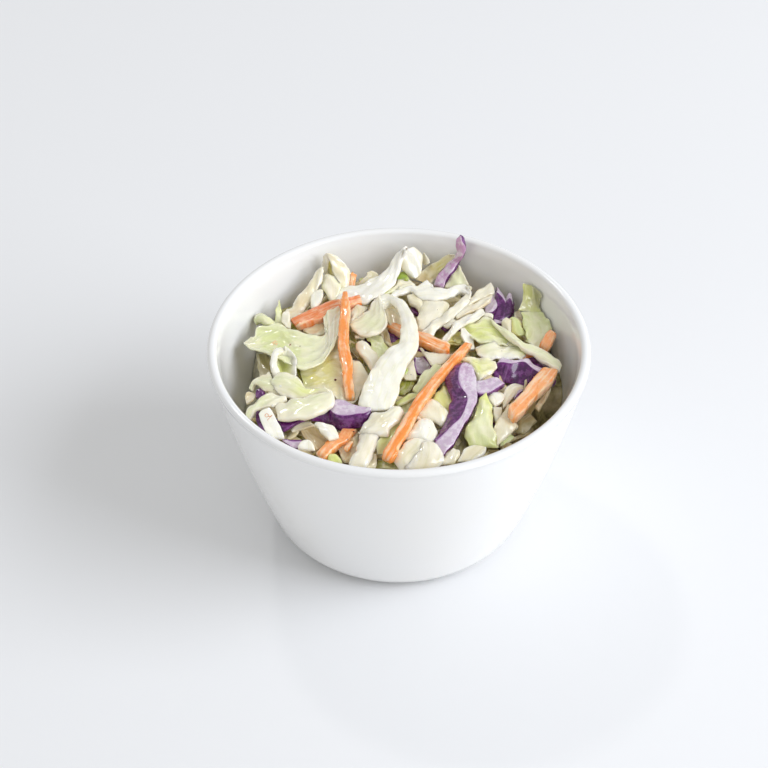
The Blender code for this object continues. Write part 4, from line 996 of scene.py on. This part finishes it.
leafRows = [
    # the folded piece, open like a gutter
    dict(edges=[[(276.5, 380.6), (272.2, 373.4), (271.2, 363), (273, 353), (279.7, 346.4)], [(283.5, 377.2), (282.7,
         370), (282.9, 362.3), (283.5, 356.6), (284.8, 350.7)], [(294.6, 376.2), (296.7, 364.2), (295, 356.6), (289.9,
         349.6), (284.4, 345.9)]], lift=[[3.2, 3.9, 4.5, 5.1, 5.3], [1.4, 1.8, 2.7, 3.8, 4.7], [3.2, 4.2, 4.8, 5.1,
         5.3]], thick=0.9, tone=["lime", "lime", "pale", "white"], edge="bright", rough=0.6),
    # the large leaf at the left
    dict(edges=[[(243.4, 341.6), (250.4, 338), (254.8, 335.4), (257.7, 328.4), (268.9, 326.5), (279.3, 323.8), (289.3,
         329.1), (299.5, 332.9), (309.7, 335.4), (318.6, 336.3), (325.3, 333.3), (323.7, 324.8), (324.5, 316.6),
         (329.6, 310.8), (340.1, 306.2)], [(244, 344), (251, 348.6), (259.9, 350.9), (269.5, 354.3), (276.5, 357.1),
         (284.2, 360.6), (292.1, 364.4), (301.4, 368.5), (308.4, 367.7), (317.6, 363.8), (325.6, 357.8), (333.3,
         346.3), (337.5, 334.8), (339.5, 322), (340.6, 312.1)]], lift=[[4.7, 5, 5.1, 5.1, 5.1, 5, 4.7, 4.2, 3.9, 4.1,
         4.4, 5, 5.4], [4.8, 5.1, 5.1, 5, 4.7, 4.4, 4.1, 3.9, 4.1, 4.4, 4.5, 4.8, 5.1]], thick=0.8, bulge=-0.7,
         tone=["white", "green", "green", "pale", "white", "white"], edge="pale", ruffle=0.12),
    # leaf leaning on the wall, back left
    dict(edges=[[(281.9, 318), (283.5, 312.9), (290.8, 308), (297.2, 297.8), (304.8, 288.9), (312, 278.7), (318,
         269.5), (323.2, 267.2)], [(290.1, 321.5), (299, 315.2), (305.4, 309.3), (310.5, 301.6), (313, 293.5), (318.1,
         287.6), (321.2, 279.9), (324, 271.3)]], lift=[[2.6, 3.3, 4.2, 5.4, 6.6, 8.4, 9.8], [2, 2.7, 3.5, 4.4, 5.6,
         7.1, 8.9]], thick=0.8, tone=["white", "beige", "cream", "white"], edge="white", bulge=0.4),
    # folded leaf, its broad limb
    dict(edges=[[(326.3, 253.4), (329.5, 259.8), (332.7, 267.4), (335.2, 275.1), (339.3, 283.4), (341.3, 288.9)],
         [(328.6, 252.8), (338, 257.2), (344.6, 263.6), (350, 270.8), (350.1, 276.8), (347.7, 287.6)]], lift=[13.4,
         11.8, 9.5, 7.1, 5.4, 4.2], thick=0.8, tone="cream", edge="white", bulge=0.4),
    # folded leaf, its near limb
    dict(edges=[[(325.5, 253.4), (322.4, 258.5), (322.8, 265.9), (323.5, 274.2)], [(327, 253.4), (327.6, 261.1),
         (327.8, 267.4), (328.8, 275.1)]], lift=[13.2, 11.1, 8.4, 5.9], thick=0.7, tone="white", edge="white"),
    # the valley between them, its olive edges painted shade in the fold
    dict(edges=[[(326, 255.7), (326.5, 264.6), (325.6, 272.9)], [(327.8, 255.7), (333.4, 267.2), (336.7, 278)]],
         lift=[11.6, 8.2, 5.7], thick=0.7, tone="straw", edge="olive"),
    # pale spike by the wall
    dict(edges=[[(278.8, 300.1), (276.5, 308), (275.3, 316.9), (274.2, 324.1)], [(279.8, 300.1), (281.1, 308), (281.9,
         315.7), (281.9, 324.1)]], lift=[5.9, 4.7, 3.6, 2.6], thick=0.9, tone="pale", edge="lime"),
    # green curl by the wall
    dict(edges=[[(255.1, 322), (256.4, 315.4), (262.5, 313.6), (268.9, 316.6), (275, 324.3)], [(257.1, 326.1), (259.7,
         322.8), (264, 324.3), (268.2, 326.4), (272.1, 326.6)]], lift=[2.9, 4.1, 4.5, 4.1, 3.2], thick=1, bulge=0.4,
         tone="green", edge="leaf"),
    # shade under that curl
    dict(edges=[[(256.1, 328.4), (263.8, 326.5), (272.7, 326.1)], [(259.9, 331), (266.3, 328.4), (275.3, 327.8)]],
         lift=[2.6, 2.6, 2.6], thick=0.8, tone="leaf", edge="olive"),
    # olive bit at the back
    dict(edges=[[(357.7, 284.4), (359.4, 280.6), (365.8, 276.8)], [(365.8, 285.7), (366.1, 282.5), (367.3, 278.7)]],
         lift=[2.9, 3.2, 3.5], thick=0.8, tone="green", edge="leaf"),
    # yellow-green strip behind the hook
    dict(edges=[[(381.4, 295.5), (388.5, 289.9), (396.4, 284.8), (398, 281.3), (407.4, 280.3), (416.5, 285.6)],
         [(384.9, 296.8), (392, 293.7), (400, 290.4), (398.3, 291), (406.3, 288.6), (412.1, 289.6)]], lift=[3.8, 4.2,
         4.4, 4.5, 4.4, 4.1], thick=0.9, bulge=0.3, tone=["lime", "cream", "white"], edge="pale"),
    # green bit at the back
    dict(edges=[[(396.4, 279.6), (399.6, 273.8), (404.7, 273.3)], [(400, 281.9), (407.4, 280.9), (410.1, 278.9)]],
         lift=[4.1, 4.8, 4.7], thick=0.8, tone="fresh", edge="leaf"),
    # translucent leaf left of the spike
    dict(edges=[[(415.4, 278.9), (424.2, 267.9), (435.5, 262.6), (446.9, 255.1), (452.9, 254.3)], [(430.2, 284),
         (436.2, 276.9), (442.9, 270.2), (448.9, 263.5), (455.9, 255.4)]], lift=[[3.2, 5.1, 7.1, 9.5, 10.4], [2.6,
         3.9, 5.6, 7.7, 10.2]], thick=0.7, tone=["tan", "straw", "cream"], edge="cream", bulge=-0.4),
    # flap right of the ribbon's fold
    dict(edges=[[(421.6, 262.9), (421.9, 256.2), (423.5, 252.5)], [(425.1, 265.5), (429.1, 262.2), (425.1, 253.5)]],
         lift=[5.9, 7.7, 8.9], thick=0.6, tone="cream", edge="cream"),
    # pale leaf right of the spike
    dict(edges=[[(458, 264.9), (450.9, 275.6), (445.2, 287.6)], [(459.9, 265.8), (465.3, 277.6), (472, 289)]],
         lift=[7.7, 5.4, 3.2], thick=0.7, tone="pale", edge="cream", bulge=0.3),
    # its lower corner
    dict(edges=[[(465, 284.3), (463, 289.6)], [(472, 286.3), (470.6, 291.6)]], lift=[4.1, 3.3], thick=0.7,
         tone="cream", edge="cream"),
    # olive square by the wall, back right
    dict(edges=[[(523.9, 282.7), (523, 292.3), (521.8, 303), (519.6, 311.6)], [(546.2, 289.9), (546.6, 297.1), (545.4,
         304.6), (544.4, 312.1)]], lift=[[10.4, 8.4, 6.3, 4.8], [10.9, 8.9, 6.6, 5.1]], thick=0.8, square=6,
         tone=["sage", "sage", "lime"], edge="sage", bulge=-0.5),
    # pale square under it
    dict(edges=[[(521.2, 312.1), (523.7, 324.5), (526.6, 335.2), (525.8, 341.2)], [(544, 311.3), (548.8, 321.8),
         (551.8, 330.1), (540, 350)]], lift=[[5.1, 4.5, 3.8, 3], [5.6, 5.1, 4.4, 3.2]], thick=0.8, square=6,
         tone=["green", "pale", "pale"], edge="green", bulge=-0.4),
    # green curl's outer limb
    dict(edges=[[(507.9, 318.4), (511.6, 322.9), (512.1, 331.4), (517.2, 335.8)], [(514.8, 317.5), (520.8, 323.8),
         (525.5, 331.2), (526.6, 336.2)]], lift=[4.5, 4.2, 3.5, 2.9], thick=0.9, tone="green", edge="straw",
         bulge=0.4),
    # long leaf's broad part
    dict(edges=[[(461.8, 326.7), (471.7, 322.9), (482.4, 318.4), (492, 320.7), (502.8, 330.1), (510.8, 336.8), (518.8,
         344.3)], [(465, 330.9), (472, 338.1), (481.1, 341.3), (490.7, 342.1), (501.4, 344.3), (510.8, 347), (519.2,
         349.6)]], lift=[3.2, 3.9, 4.4, 4.4, 4.2, 4.1, 3.9], thick=0.9, tone=["sun", "lime", "lime", "green", "lime"],
         edge="pale", bulge=-0.5),
    # ochre hollow left of it
    dict(edges=[[(446.2, 333.8), (443.6, 344.5), (446.2, 342.7)], [(461.6, 329.8), (465, 344.5), (465, 344)]],
         lift=[2.2, 1.8, 1.6], thick=0.8, tone="straw", edge="lime", bulge=-0.4),
    # curl in the hollow
    dict(edges=[[(452.9, 337.9), (455.6, 342.1), (461, 343.2)], [(455.4, 336.8), (458.6, 339.2), (462.1, 340.5)]],
         lift=[2.2, 2.2, 2.4], thick=0.7, tone="straw", edge="lime"),
    # wavy leaf
    dict(edges=[[(475.4, 349.1), (482.4, 344), (488.4, 341.3), (497.1, 342.7), (505.2, 345.1), (513.2, 340), (519.4,
         346.4), (525.8, 355.8)], [(477, 354.5), (483.7, 358.5), (489.1, 359), (497.1, 359), (503.8, 359), (513.2,
         358.7), (520.6, 357.9), (524.7, 357.4)]], lift=[2.9, 3.5, 3.8, 3.5, 3.5, 3.9, 3.6], thick=0.9, tone=["cream",
         "pale", "white", "pale", "lime"], edge="bright", ruffle=0.5, bulge=0.3),
    # pale lime leaf
    dict(edges=[[(459.6, 360.4), (467.7, 357.9), (477, 357.7), (486.7, 359.7), (494.5, 361.2), (497.4, 368.4)], [(465,
         363), (470.4, 365.7), (474.4, 373.7), (477.7, 381.2), (485.4, 376.7), (492, 374)]], lift=[3, 3.5, 3.6, 3.5,
         3.2], thick=1, tone=["cream", "sun", "cream"], edge="white", bulge=0.3, ruffle=0.4),
    # curled bit under it
    dict(edges=[[(479.7, 380.2), (485.1, 376.4), (492, 374.6)], [(482.4, 383.1), (488.4, 381.8), (493.1, 378.2)]],
         lift=[2.6, 2.9, 2.7], thick=0.9, tone="tan", edge="cream"),
    # leaf with the pointed tip, front right
    dict(edges=[[(483.5, 393.8), (479.3, 400.9), (475.7, 412.3), (469, 423.3), (465.4, 432.7), (469, 447.1)], [(485.6,
         393.6), (490.4, 404.3), (492.3, 415), (493.4, 425.7), (496.5, 437.8), (496.5, 448.7)]], lift=[[5.1, 5.1, 4.8,
         4.4, 3.9, 3], [4.8, 4.7, 4.4, 4.1, 3.8, 3]], thick=1, tone=["sun", "lime", "pale", "pale", "green"],
         edge="lime", bulge=0.8, ruffle=0.3),
    # green bit at the front right rim
    dict(edges=[[(511.2, 434.1), (502.5, 438.4), (500.1, 445.8)], [(514.3, 437.8), (508.5, 442.5), (503.8, 445.8)]],
         lift=[2.7, 3, 2.7], thick=0.8, tone="fresh", edge="green"),
    # broad sheet left of the middle
    dict(edges=[[(300.5, 368.7), (309.7, 363.6), (322.4, 357.2), (338.4, 347.7), (353.1, 359.8), (362.2, 365.5),
         (369.4, 377.2)], [(303.6, 388.2), (313.5, 390.6), (326.3, 390.5), (335.2, 396.6), (344.1, 401.5), (354.6,
         402.8), (360.5, 392.3)]], lift=[2, 2.4, 2.7, 2.9, 2.7, 2.4, 2], thick=0.8, tone=["sage", "straw", "straw",
         "beige", "cream", "beige"], edge="cream", bulge=-0.4, crease=0.2),
    # green valley in the middle, olive along it: painted shade in the valley
    dict(edges=[[(349, 328.7), (349.5, 341.2), (351.8, 351.5), (364.5, 361.7), (369.6, 375.1)], [(355, 332.2), (358.2,
         347.6), (360.1, 355.3), (367.3, 365.5), (371.6, 373.4)]], lift=[1.4, 1, 0.8, 0.8, 0.8], thick=0.7,
         tone=["leaf", "olive", "leaf"], edge="green", bulge=-0.6),
    # streaky green leaf
    dict(edges=[[(365.2, 336.7), (371.6, 343.5), (371.2, 348.9), (377, 361)], [(377.9, 334.8), (384.9, 341.8), (390.1,
         352.1), (381.8, 361)]], lift=[2.6, 2.4, 2, 1.4], thick=0.8, tone=["pale", "green", "pale"], edge="lime",
         bulge=-0.3),
    # sheet behind it
    dict(edges=[[(378.6, 332.2), (384.9, 342.4), (391.3, 347.7)], [(387.5, 322), (388.8, 334.8), (392.6, 345)]],
         lift=[1.4, 1.2, 1], thick=0.8, tone="tan", edge="cream"),
    # shaded leaf by the wall, left
    dict(edges=[[(258, 354.3), (257.1, 363.2), (259.7, 375.7)], [(269.5, 354.3), (272.2, 363), (271.7, 374.2)]],
         lift=[2, 1.8, 1.4], thick=0.8, tone="shade", edge="shade"),
    # olive leaf in a gap: painted shade
    dict(edges=[[(295.7, 366), (298, 374.7), (302.3, 382.7)], [(300.3, 365.8), (302, 373.4), (304.3, 382.7)]],
         lift=[1.8, 1.4, 1], thick=0.7, tone="olive", edge="leaf"),
    # yellow-green bit at the front left rim
    dict(edges=[[(330.1, 454.5), (327.6, 459.3), (328.8, 464.4)], [(337.5, 454.5), (340.9, 459.3), (342.9, 464.4)]],
         lift=[2.7, 2.9, 2.7], thick=1.2, tone="sun", edge="lime"),
    # green leaf right of the cup
    dict(edges=[[(440.9, 363.6), (430.4, 368.1), (420.8, 375.9), (411.7, 392)], [(442.5, 370.3), (434.5, 380.4),
         (426.2, 388.5), (417.1, 394.1)]], lift=[2.6, 2.6, 2.4, 2], thick=0.8, tone=["green", "pale", "green"],
         edge="pale", bulge=0.3),
    # dark green sheet under the hook's edge: painted shade
    dict(edges=[[(401.4, 380.8), (399.4, 386.9), (396.7, 394.2)], [(415.7, 381.2), (412.5, 388.9), (404.7, 395.2)]],
         lift=[1, 1, 1], thick=0.8, tone="leaf", edge="olive"),
    # bright bit beside the hook
    dict(edges=[[(403.1, 371.5), (404.5, 376.2)], [(406.3, 367.5), (409, 371.5)]], lift=[2.7, 2.7], thick=0.8,
         tone="fresh", edge="lime"),
    # yellow-green sheet between the carrot and the purple piece
    dict(edges=[[(444.2, 383.5), (434.2, 396.9), (431.5, 401.6), (442.9, 409.6)], [(445.6, 384.2), (450.3, 393.6),
         (451.9, 401.6), (450.3, 415)]], lift=[2.4, 2.6, 2.6, 2], thick=0.8, tone=["lime", "lime", "straw"],
         edge="lime"),
    # sheet left of the long carrot, middle
    dict(edges=[[(395.1, 407.6), (398, 415), (403.4, 417.7)], [(418.8, 396.2), (412.1, 404.3), (407.4, 412.3)]],
         lift=[2, 2, 2], thick=0.8, tone=["pale", "lime"], edge="pale"),
    # dark green and olive sheet at the very front, by the rim: painted shade
    dict(edges=[[(376.7, 459.9), (376, 468.8)], [(405.4, 461.2), (407.4, 468.6)]], lift=[1.6, 2], thick=0.8,
         tone="leaf", edge="olive"),
    # hollow behind the disc, in shade and olive tones: painted shade
    dict(edges=[[(463, 428.4), (457, 436.4), (452.9, 447.1)], [(469, 441.8), (468.3, 447.1), (462.3, 455.2)]],
         lift=[1, 1, 1.2], thick=0.8, tone="shade", edge="olive", bulge=-0.4),
    # sheet under the purple horns
    dict(edges=[[(513.9, 313.7), (515.2, 317.8), (518.6, 323.1)], [(520.6, 308.4), (521.9, 317.8), (523.9, 325.8)]],
         lift=[2.6, 2.6, 2.4], thick=0.8, tone="tan", edge="cream"),
]
leafBasics = dict(thick=0.7, square=5.0, tone="green", edge="pale", ruffle=0.3, rough=1.2, round=0.8, crease=0.36)

# what lies between and under the shreds above, in layers; shares are of white, leaf, purple and carrot
fillHeap = {
    "seed": 31,
    # each layer: how many, their lift in mm, how far out they reach in mm, and a painted shade that darkens the deeper
    # layers
    "layers": [(150, -3.8, 45.5, (0.56, 0.48, 0.23)), (160, -2.6, 44.0, (0.8, 0.71, 0.45)), (110, -1.4, 40.0, (0.96, 0.89, 0.69))],
    "shares": [(0.5, 0.34, 0.1, 0.06), (0.55, 0.37, 0.06, 0.02), (0.62, 0.38, 0.0, 0.0)],  # white, leaf, purple, carrot
    "lengths": (8.0, 20.0),
    "widths": (2.4, 5.6),
    "bow": 1.4,
    # the hollows by the wall, one at the left where the core turns pale cream, and a dark one at the right, deep and
    # with the core's painted shade: middle x, y, reach along x, y, depth, in mm
    "hollows": [(-45.5, 5.0, 9.0, 15.0, 9.0), (42.5, -12.5, 5.5, 7.5, 9.0)],
}


# how deep the first hollows are at a place, in metres: depth * e ^ -(distance / reach) ^ 4
def hollowAt(x, y, count=2):
    deepest = 0 * x
    for middleX, middleY, reachX, reachY, depth in fillHeap["hollows"][:count]:
        away = np.hypot((x / mm - middleX) / reachX, (y / mm - middleY) / reachY)
        deepest = np.maximum(deepest, depth * mm * np.exp(-(away**4)))
    return deepest



# scattered evenly: shred n lies at radius reach * sqrt(n / count) and turn n * 137.5 degrees, headed anywhere
def fillRows():
    draw = np.random.default_rng(fillHeap["seed"])
    found = {"white": [], "leaf": [], "purple": [], "carrot": []}
    # olive among the leaf tones is painted shade, to darken the gaps
    tones = {"white": ["white", "cream", "beige", "white"], "leaf": ["green", "pale", "lime", "leaf", "olive"],
             "purple": ["lilac"], "carrot": ["orange", "deep"]}
    for (count, lift, reach, depthPaintedShade), shares in zip(fillHeap["layers"], fillHeap["shares"]):
        for n in range(count):
            kind = draw.choice(list(found), p=shares)
            radius = reach * math.sqrt((n + 0.5) / count)
            turn = n * math.radians(137.508) + draw.uniform(-0.2, 0.2)
            middle = np.array([radius * math.cos(turn), radius * math.sin(turn)])
            heading = draw.uniform(0, math.pi) if radius < 0.8 * reach else turn + math.pi / 2 + draw.uniform(-0.6, 0.6)
            half = draw.uniform(*fillHeap["lengths"]) / 2
            way = np.array([math.cos(heading), math.sin(heading)])
            bow = draw.uniform(-3, 3)
            side = np.array([-way[1], way[0]])
            steps = np.linspace(-1, 1, 4)
            ground = [middle + way * half * q + side * bow * (1 - q * q) for q in steps]
            ground = np.array(ground) * mm
            if hollowAt(ground[:, 0], ground[:, 1]).max() > 1.5 * mm:
                continue
            rise = lift + fillHeap["bow"] * (1 - steps**2) + draw.uniform(-0.5, 0.5) + draw.uniform(-0.6, 0.6, 4)
            z = domeLevel(ground[:, 0], ground[:, 1]) - hollowAt(ground[:, 0], ground[:, 1]) + rise * mm
            line = through(np.column_stack([ground, z]), np.linspace(0, 1, 6))
            headed = unit(np.gradient(line, axis=0))
            aside = unit(np.cross(headed, [0, 0, 1]))
            lean = math.radians(draw.uniform(-35, 35))
            aside = aside * math.cos(lean) + np.cross(aside, headed) * math.sin(lean)
            wide = draw.uniform(*fillHeap["widths"]) * (1.5 if kind == "leaf" else 1) * draw.uniform(0.6, 1.1, (6, 1))
            if kind == "carrot":
                wide = np.full((6, 1), draw.uniform(2.2, 3.2))
            row = {
                "path": [line - aside * wide * mm / 2, line + aside * wide * mm / 2],
                "bulge": draw.uniform(-0.8, 0.8) if kind in ("white", "leaf") else 0.0,
                "tone": draw.choice(tones[kind]),
                "depthPaintedShade": depthPaintedShade,
                "skins": [draw.choice([0.1, 1.0]), 1.0] if kind == "purple" else [0, 0],
                "edge": draw.choice(["pale", "cream", "white"]) if kind == "leaf" else draw.choice(tones[kind]),
            }
            found[kind].append(row)
    return found


def makeShreds():
    fill = fillRows()
    pieces = {}
    kinds = [
        ("whiteCabbage", "white", whiteRows, whiteBasics, cabbageMaterial("white cabbage"), 11),
        ("greenCabbage", "leaf", leafRows, leafBasics, cabbageMaterial("green cabbage"), 12),
        ("purpleCabbage", "purple", purpleRows, purpleBasics, purpleMaterial(), 13),
        ("carrotSticks", "carrot", carrotRows, carrotBasics, carrotMaterial(), 14),
    ]
    for name, kind, rows, basics, material, seed in kinds:
        draw = np.random.default_rng(seed)
        parts = [shred({**basics, **row}, draw) for row in rows]
        parts += [shred({**basics, **row}, draw, False) for row in fill[kind]]
        pieces[name] = pieceFrom(name, parts, material)
        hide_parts("slaw")
    return pieces


# ---- the core under the shreds ------------------------------------------

coreShape = {"sink": 3.4 * mm, "rings": 60, "around": 120, "lump": 0.9 * mm, "gap": 0.05 * mm}


# the bowl's inside less a gap, topped by the dome less the sink, with lumps sin(ax + by) of a few pitches
def makeCore():
    c = coreShape
    wall = bowlShape["wall"]
    low = bowlShape["floor"] + c["gap"]
    edge = heap["edgeLevel"] - c["sink"]
    foot = lowCorner(wall + c["gap"], low, bowlShape["innerRounding"], 8)
    up = np.linspace(low + bowlShape["innerRounding"], edge, 12)
    side = np.stack([sideRadius(up, wall + c["gap"]), up], axis=1)
    inward = np.linspace(1, 0, c["rings"])[1:-1, None] * side[-1:, 0]
    top = np.concatenate([inward, np.full_like(inward, edge)], axis=1)
    profile = np.concatenate([foot, side, top])
    angle = np.arange(c["around"]) / c["around"] * fullTurn
    r, z = profile[:, :1], profile[:, 1:]
    rings = np.stack([r * np.cos(angle), r * np.sin(angle), z + 0 * angle], axis=-1).reshape(-1, 3)
    points = np.concatenate([rings, [[0, 0, profile[0, 1]], [0, 0, edge]]])
    onTop = np.hypot(points[:, 0], points[:, 1]) < side[-1, 0] * 0.985
    onTop &= points[:, 2] > edge - 0.01 * mm
    x, y = points[:, 0] / mm, points[:, 1] / mm
    lumps = np.sin(x * 0.9 + y * 0.5) * np.sin(y * 0.8 - x * 0.3) + 0.5 * np.sin(x * 1.9 - y * 1.3)
    hollow = hollowAt(points[:, 0], points[:, 1])
    dome = domeLevel(points[:, 0], points[:, 1]) - hollow - c["sink"] + c["lump"] * lumps
    low += bowlShape["innerRounding"]
    sunk = low + (points[:, 2] - low) * (edge - hollow - low) / (edge - low)
    points[:, 2] = np.where(onTop, dome, np.where(points[:, 2] > low, sunk, points[:, 2]))
    points = keptInside(points, c["gap"])
    quads, triangles = tubeFaces(len(profile), len(angle))
    count = len(points)
    # the core's skin value is how deep the left hollow is there, which turns its painted shade to pale cream
    part = {
        "points": points, "quads": quads[:, ::-1], "triangles": triangles[:, ::-1],
        "uv": points[:, :2] * 100, "tone": np.ones((count, 3)), "skin": np.clip(hollowAt(points[:, 0], points[:, 1], 1) / (3 * mm), 0, 1),
    }
    made = pieceFrom("slawCore", [part], coreMaterial())
    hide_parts("slaw")
    return made


# ---- pepper and drops of dressing ---------------------------------------


# the surface of the finished shreds, to set small things on
def surfaceOf(pieces):
    points, faces = [], []
    for piece in pieces:
        shift = len(points)
        points += [v.co.copy() for v in piece.data.vertices]
        faces += [tuple(i + shift for i in polygon.vertices) for polygon in piece.data.polygons]
    return BVHTree.FromPolygons(points, faces)


# a lumpy drop on a spot: an ellipsoid (a cos p cos q, b cos p sin q, c sin p) turned to the surface's normal
def drop(spot, normal, sizes, turn, draw, steps=(7, 12), flatten=0.0):
    polar = np.linspace(-math.pi / 2, math.pi / 2, steps[0] + 2)[1:-1, None]
    angle = (np.arange(steps[1]) / steps[1] * fullTurn)[None]
    lump = 1 + 0.12 * np.sin(2 * angle + draw.uniform(0, 6)) * np.cos(polar) + 0.06 * np.sin(3 * angle + draw.uniform(0, 6))
    x = sizes[0] * np.cos(polar) * np.cos(angle) * lump
    y = sizes[1] * np.cos(polar) * np.sin(angle) * lump
    z = sizes[2] * np.sin(polar) + 0 * angle
    up = unit(np.array(normal))
    side = unit(np.cross(up, [math.cos(turn), math.sin(turn), 0.3]))
    ahead = np.cross(up, side)
    rings = spot + x[..., None] * side + y[..., None] * ahead + z[..., None] * up
    poles = np.array([spot - sizes[2] * up, spot + sizes[2] * up])
    points = np.concatenate([rings.reshape(-1, 3), poles])
    quads, triangles = tubeFaces(steps[0], steps[1])
    count = len(points)
    return {"points": points, "quads": quads, "triangles": triangles, "uv": points[:, :2] * 100,
            "tone": np.ones((count, 3)), "skin": np.zeros(count)}


mouth = {"middle": (399, 362), "half": (158, 104)}  # in pixels
pepperSpots = {
    # places in the picture, in pixels, and how large each fleck is, in mm
    "seen": [(290, 345, 0.75), (300, 346.2, 0.4), (335.3, 379.8, 0.85), (406.5, 249, 0.65), (470, 299.8, 0.45),
             (353.6, 431.6, 0.5), (347.8, 439.4, 0.45), (437.5, 309.8, 0.3), (411, 374.5, 0.25), (466, 385.8, 0.3)],
    "scattered": 16,
    "seed": 5,
    "size": (0.14, 0.28),
}


# the first surface that the line of sight through a place in the picture meets
def sightHit(surface, x, y):
    way = sightLine(x, y)
    hit, normal, _, _ = surface.ray_cast(Vector(eye), Vector(unit(way)))
    if normal is not None and normal.dot(Vector(way)) > 0:
        normal = -normal
    return hit, normal


# a place in the picture, evenly drawn over the bowl's mouth: an ellipse
def drawnPlace(draw):
    radius, turn = math.sqrt(draw.uniform()), draw.uniform(0, fullTurn)
    return mouth["middle"][0] + mouth["half"][0] * radius * math.cos(turn), mouth["middle"][1] + mouth["half"][1] * radius * math.sin(turn)


orangeMarks = {
    # a thin curl of carrot, which is a ring and a forked tail of touching drops, and a faint stain, all in pixels
    "ring": (266.7, 415.4, 1.7),
    "ringDrops": 12,
    "strokes": [((268.4, 416.2), (270.6, 416.6)), ((270.6, 416.6), (272.0, 415.2)), ((270.6, 416.6), (267.6, 419.9))],
    "strokeDrops": 6,
    "width": 0.3,  # in mm
    "curlColour": linear(214, 138, 76),
    "stain": (275, 342.8, 1.7, 1.1),
    "stainDrops": 26,
    "stainSize": 0.42,  # in mm
    "stainColour": linear(240, 198, 148),
}


# the marks' drops: a place in the picture, a size in mm and a colour each
def orangeDrops(draw):
    look = orangeMarks
    x, y, radius = look["ring"]
    turns = np.arange(look["ringDrops"]) / look["ringDrops"] * fullTurn
    places = [(x + radius * math.cos(turn), y + radius * math.sin(turn)) for turn in turns]
    for start, end in look["strokes"]:
        places += [tuple(place) for place in np.linspace(start, end, look["strokeDrops"])]
    drops = [(*place, look["width"], look["curlColour"]) for place in places]
    x, y, wide, high = look["stain"]
    for _ in range(look["stainDrops"]):
        drops.append((draw.normal(x, wide), draw.normal(y, high), look["stainSize"], look["stainColour"]))
    return drops


def makePepper(surface):
    draw = np.random.default_rng(pepperSpots["seed"])
    spots = [(*spot, None) for spot in pepperSpots["seen"]]
    for _ in range(pepperSpots["scattered"]):
        spots.append((*drawnPlace(draw), draw.uniform(*pepperSpots["size"]), None))
    parts = []
    for x, y, size, colour in spots + orangeDrops(np.random.default_rng(pepperSpots["seed"])):
        hit, normal = sightHit(surface, x, y)
        if hit is None or math.hypot(hit.x, hit.y) > innerRadius(hit.z) - 1 * mm:
            continue
        half = size * mm / 2
        sizes = (half, half * draw.uniform(0.6, 0.9), half * (0.45 if colour is None else 0.25))
        part = drop(np.array(hit), normal, sizes, draw.uniform(0, 6), draw, (3, 7))
        if colour is not None:
            part["tone"][:] = colour
            part["skin"][:] = 1
        parts.append(part)
    made = pieceFrom("pepperFlecks", parts, pepperMaterial(), smooth=False)
    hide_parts("slaw")


dressingLook = {"drops": 9, "seed": 8, "size": (0.25, 0.5), "flat": 0.12}


def makeDressing(surface):
    draw = np.random.default_rng(dressingLook["seed"])
    parts = []
    for _ in range(dressingLook["drops"]):
        hit, normal = sightHit(surface, *drawnPlace(draw))
        if hit is None or math.hypot(hit.x, hit.y) > innerRadius(hit.z) - 1 * mm:
            continue
        half = draw.uniform(*dressingLook["size"]) * mm
        sizes = (half * draw.uniform(0.8, 1.7), half, half * dressingLook["flat"])
        parts.append(drop(np.array(hit), normal, sizes, draw.uniform(0, 6), draw))
    made = pieceFrom("dressingDrops", parts, dressingMaterial())
    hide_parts("slaw")


# ---- table, light and camera --------------------------------------------

studio = {
    "floorSize": 6.0,
    # each light: degrees round from +X, degrees up, distance and size in metres, power in watts, colour
    "windowLight": (-14.0, 34.0, 1.3, 0.95, 14.6, (0.95, 0.985, 1.06)),
    "sparkle": (118.0, 52.0, 1.1, 0.08, 0.8, (1.0, 1.0, 1.0)),
    "fillLight": (-130.0, 9.0, 1.4, 1.0, 1.7, (1.0, 1.0, 1.0)),
    "skyColour": (0.992, 0.997, 1.0),
    "skyStrength": 0.585,
}


def makeFloor():
    half = studio["floorSize"] / 2
    mesh = bpy.data.meshes.new("tableTop")
    mesh.from_pydata([(-half, -half, 0), (half, -half, 0), (half, half, 0), (-half, half, 0)], [], [(0, 1, 2, 3)])
    mesh.materials.append(floorMaterial())
    floor = bpy.data.objects.new("tableTop", mesh)
    bpy.context.scene.collection.objects.link(floor)


def aimed(obj, place, target):
    obj.location = Vector(place)
    obj.rotation_euler = (Vector(target) - Vector(place)).to_track_quat("-Z", "Y").to_euler()


def makeLights():
    for name in ("windowLight", "sparkle", "fillLight"):
        turn, rise, far, size, power, colour = studio[name]
        turn, rise = math.radians(turn), math.radians(rise)
        light = bpy.data.lights.new(name, "AREA")
        light.size = size
        light.energy = power
        light.color = colour
        holder = bpy.data.objects.new(name, light)
        bpy.context.scene.collection.objects.link(holder)
        place = (far * math.cos(rise) * math.cos(turn), far * math.cos(rise) * math.sin(turn), far * math.sin(rise))
        aimed(holder, place, (0, 0, 0.03))
    world = bpy.data.worlds.new("studio")
    world.use_nodes = True
    background = world.node_tree.nodes["Background"]
    background.inputs["Color"].default_value = (*studio["skyColour"], 1)
    background.inputs["Strength"].default_value = studio["skyStrength"]
    bpy.context.scene.world = world


def makeCamera():
    camera = bpy.data.cameras.new("camera")
    camera.lens = lensLength
    camera.sensor_width = 36
    camera.clip_start = 0.01
    camera.clip_end = 20
    holder = bpy.data.objects.new("camera", camera)
    bpy.context.scene.collection.objects.link(holder)
    aimed(holder, eye, aim)
    bpy.context.scene.camera = holder


makeFloor()
makeLights()
makeCamera()
print("table, light and camera")
makeBowl()
core = makeCore()
shreds = makeShreds()
surface = surfaceOf(list(shreds.values()) + [core])
makePepper(surface)
makeDressing(surfaceOf([shreds["whiteCabbage"]]))
bpy.context.scene.view_settings.view_transform = "Standard"
bpy.context.scene.view_settings.look = "None"
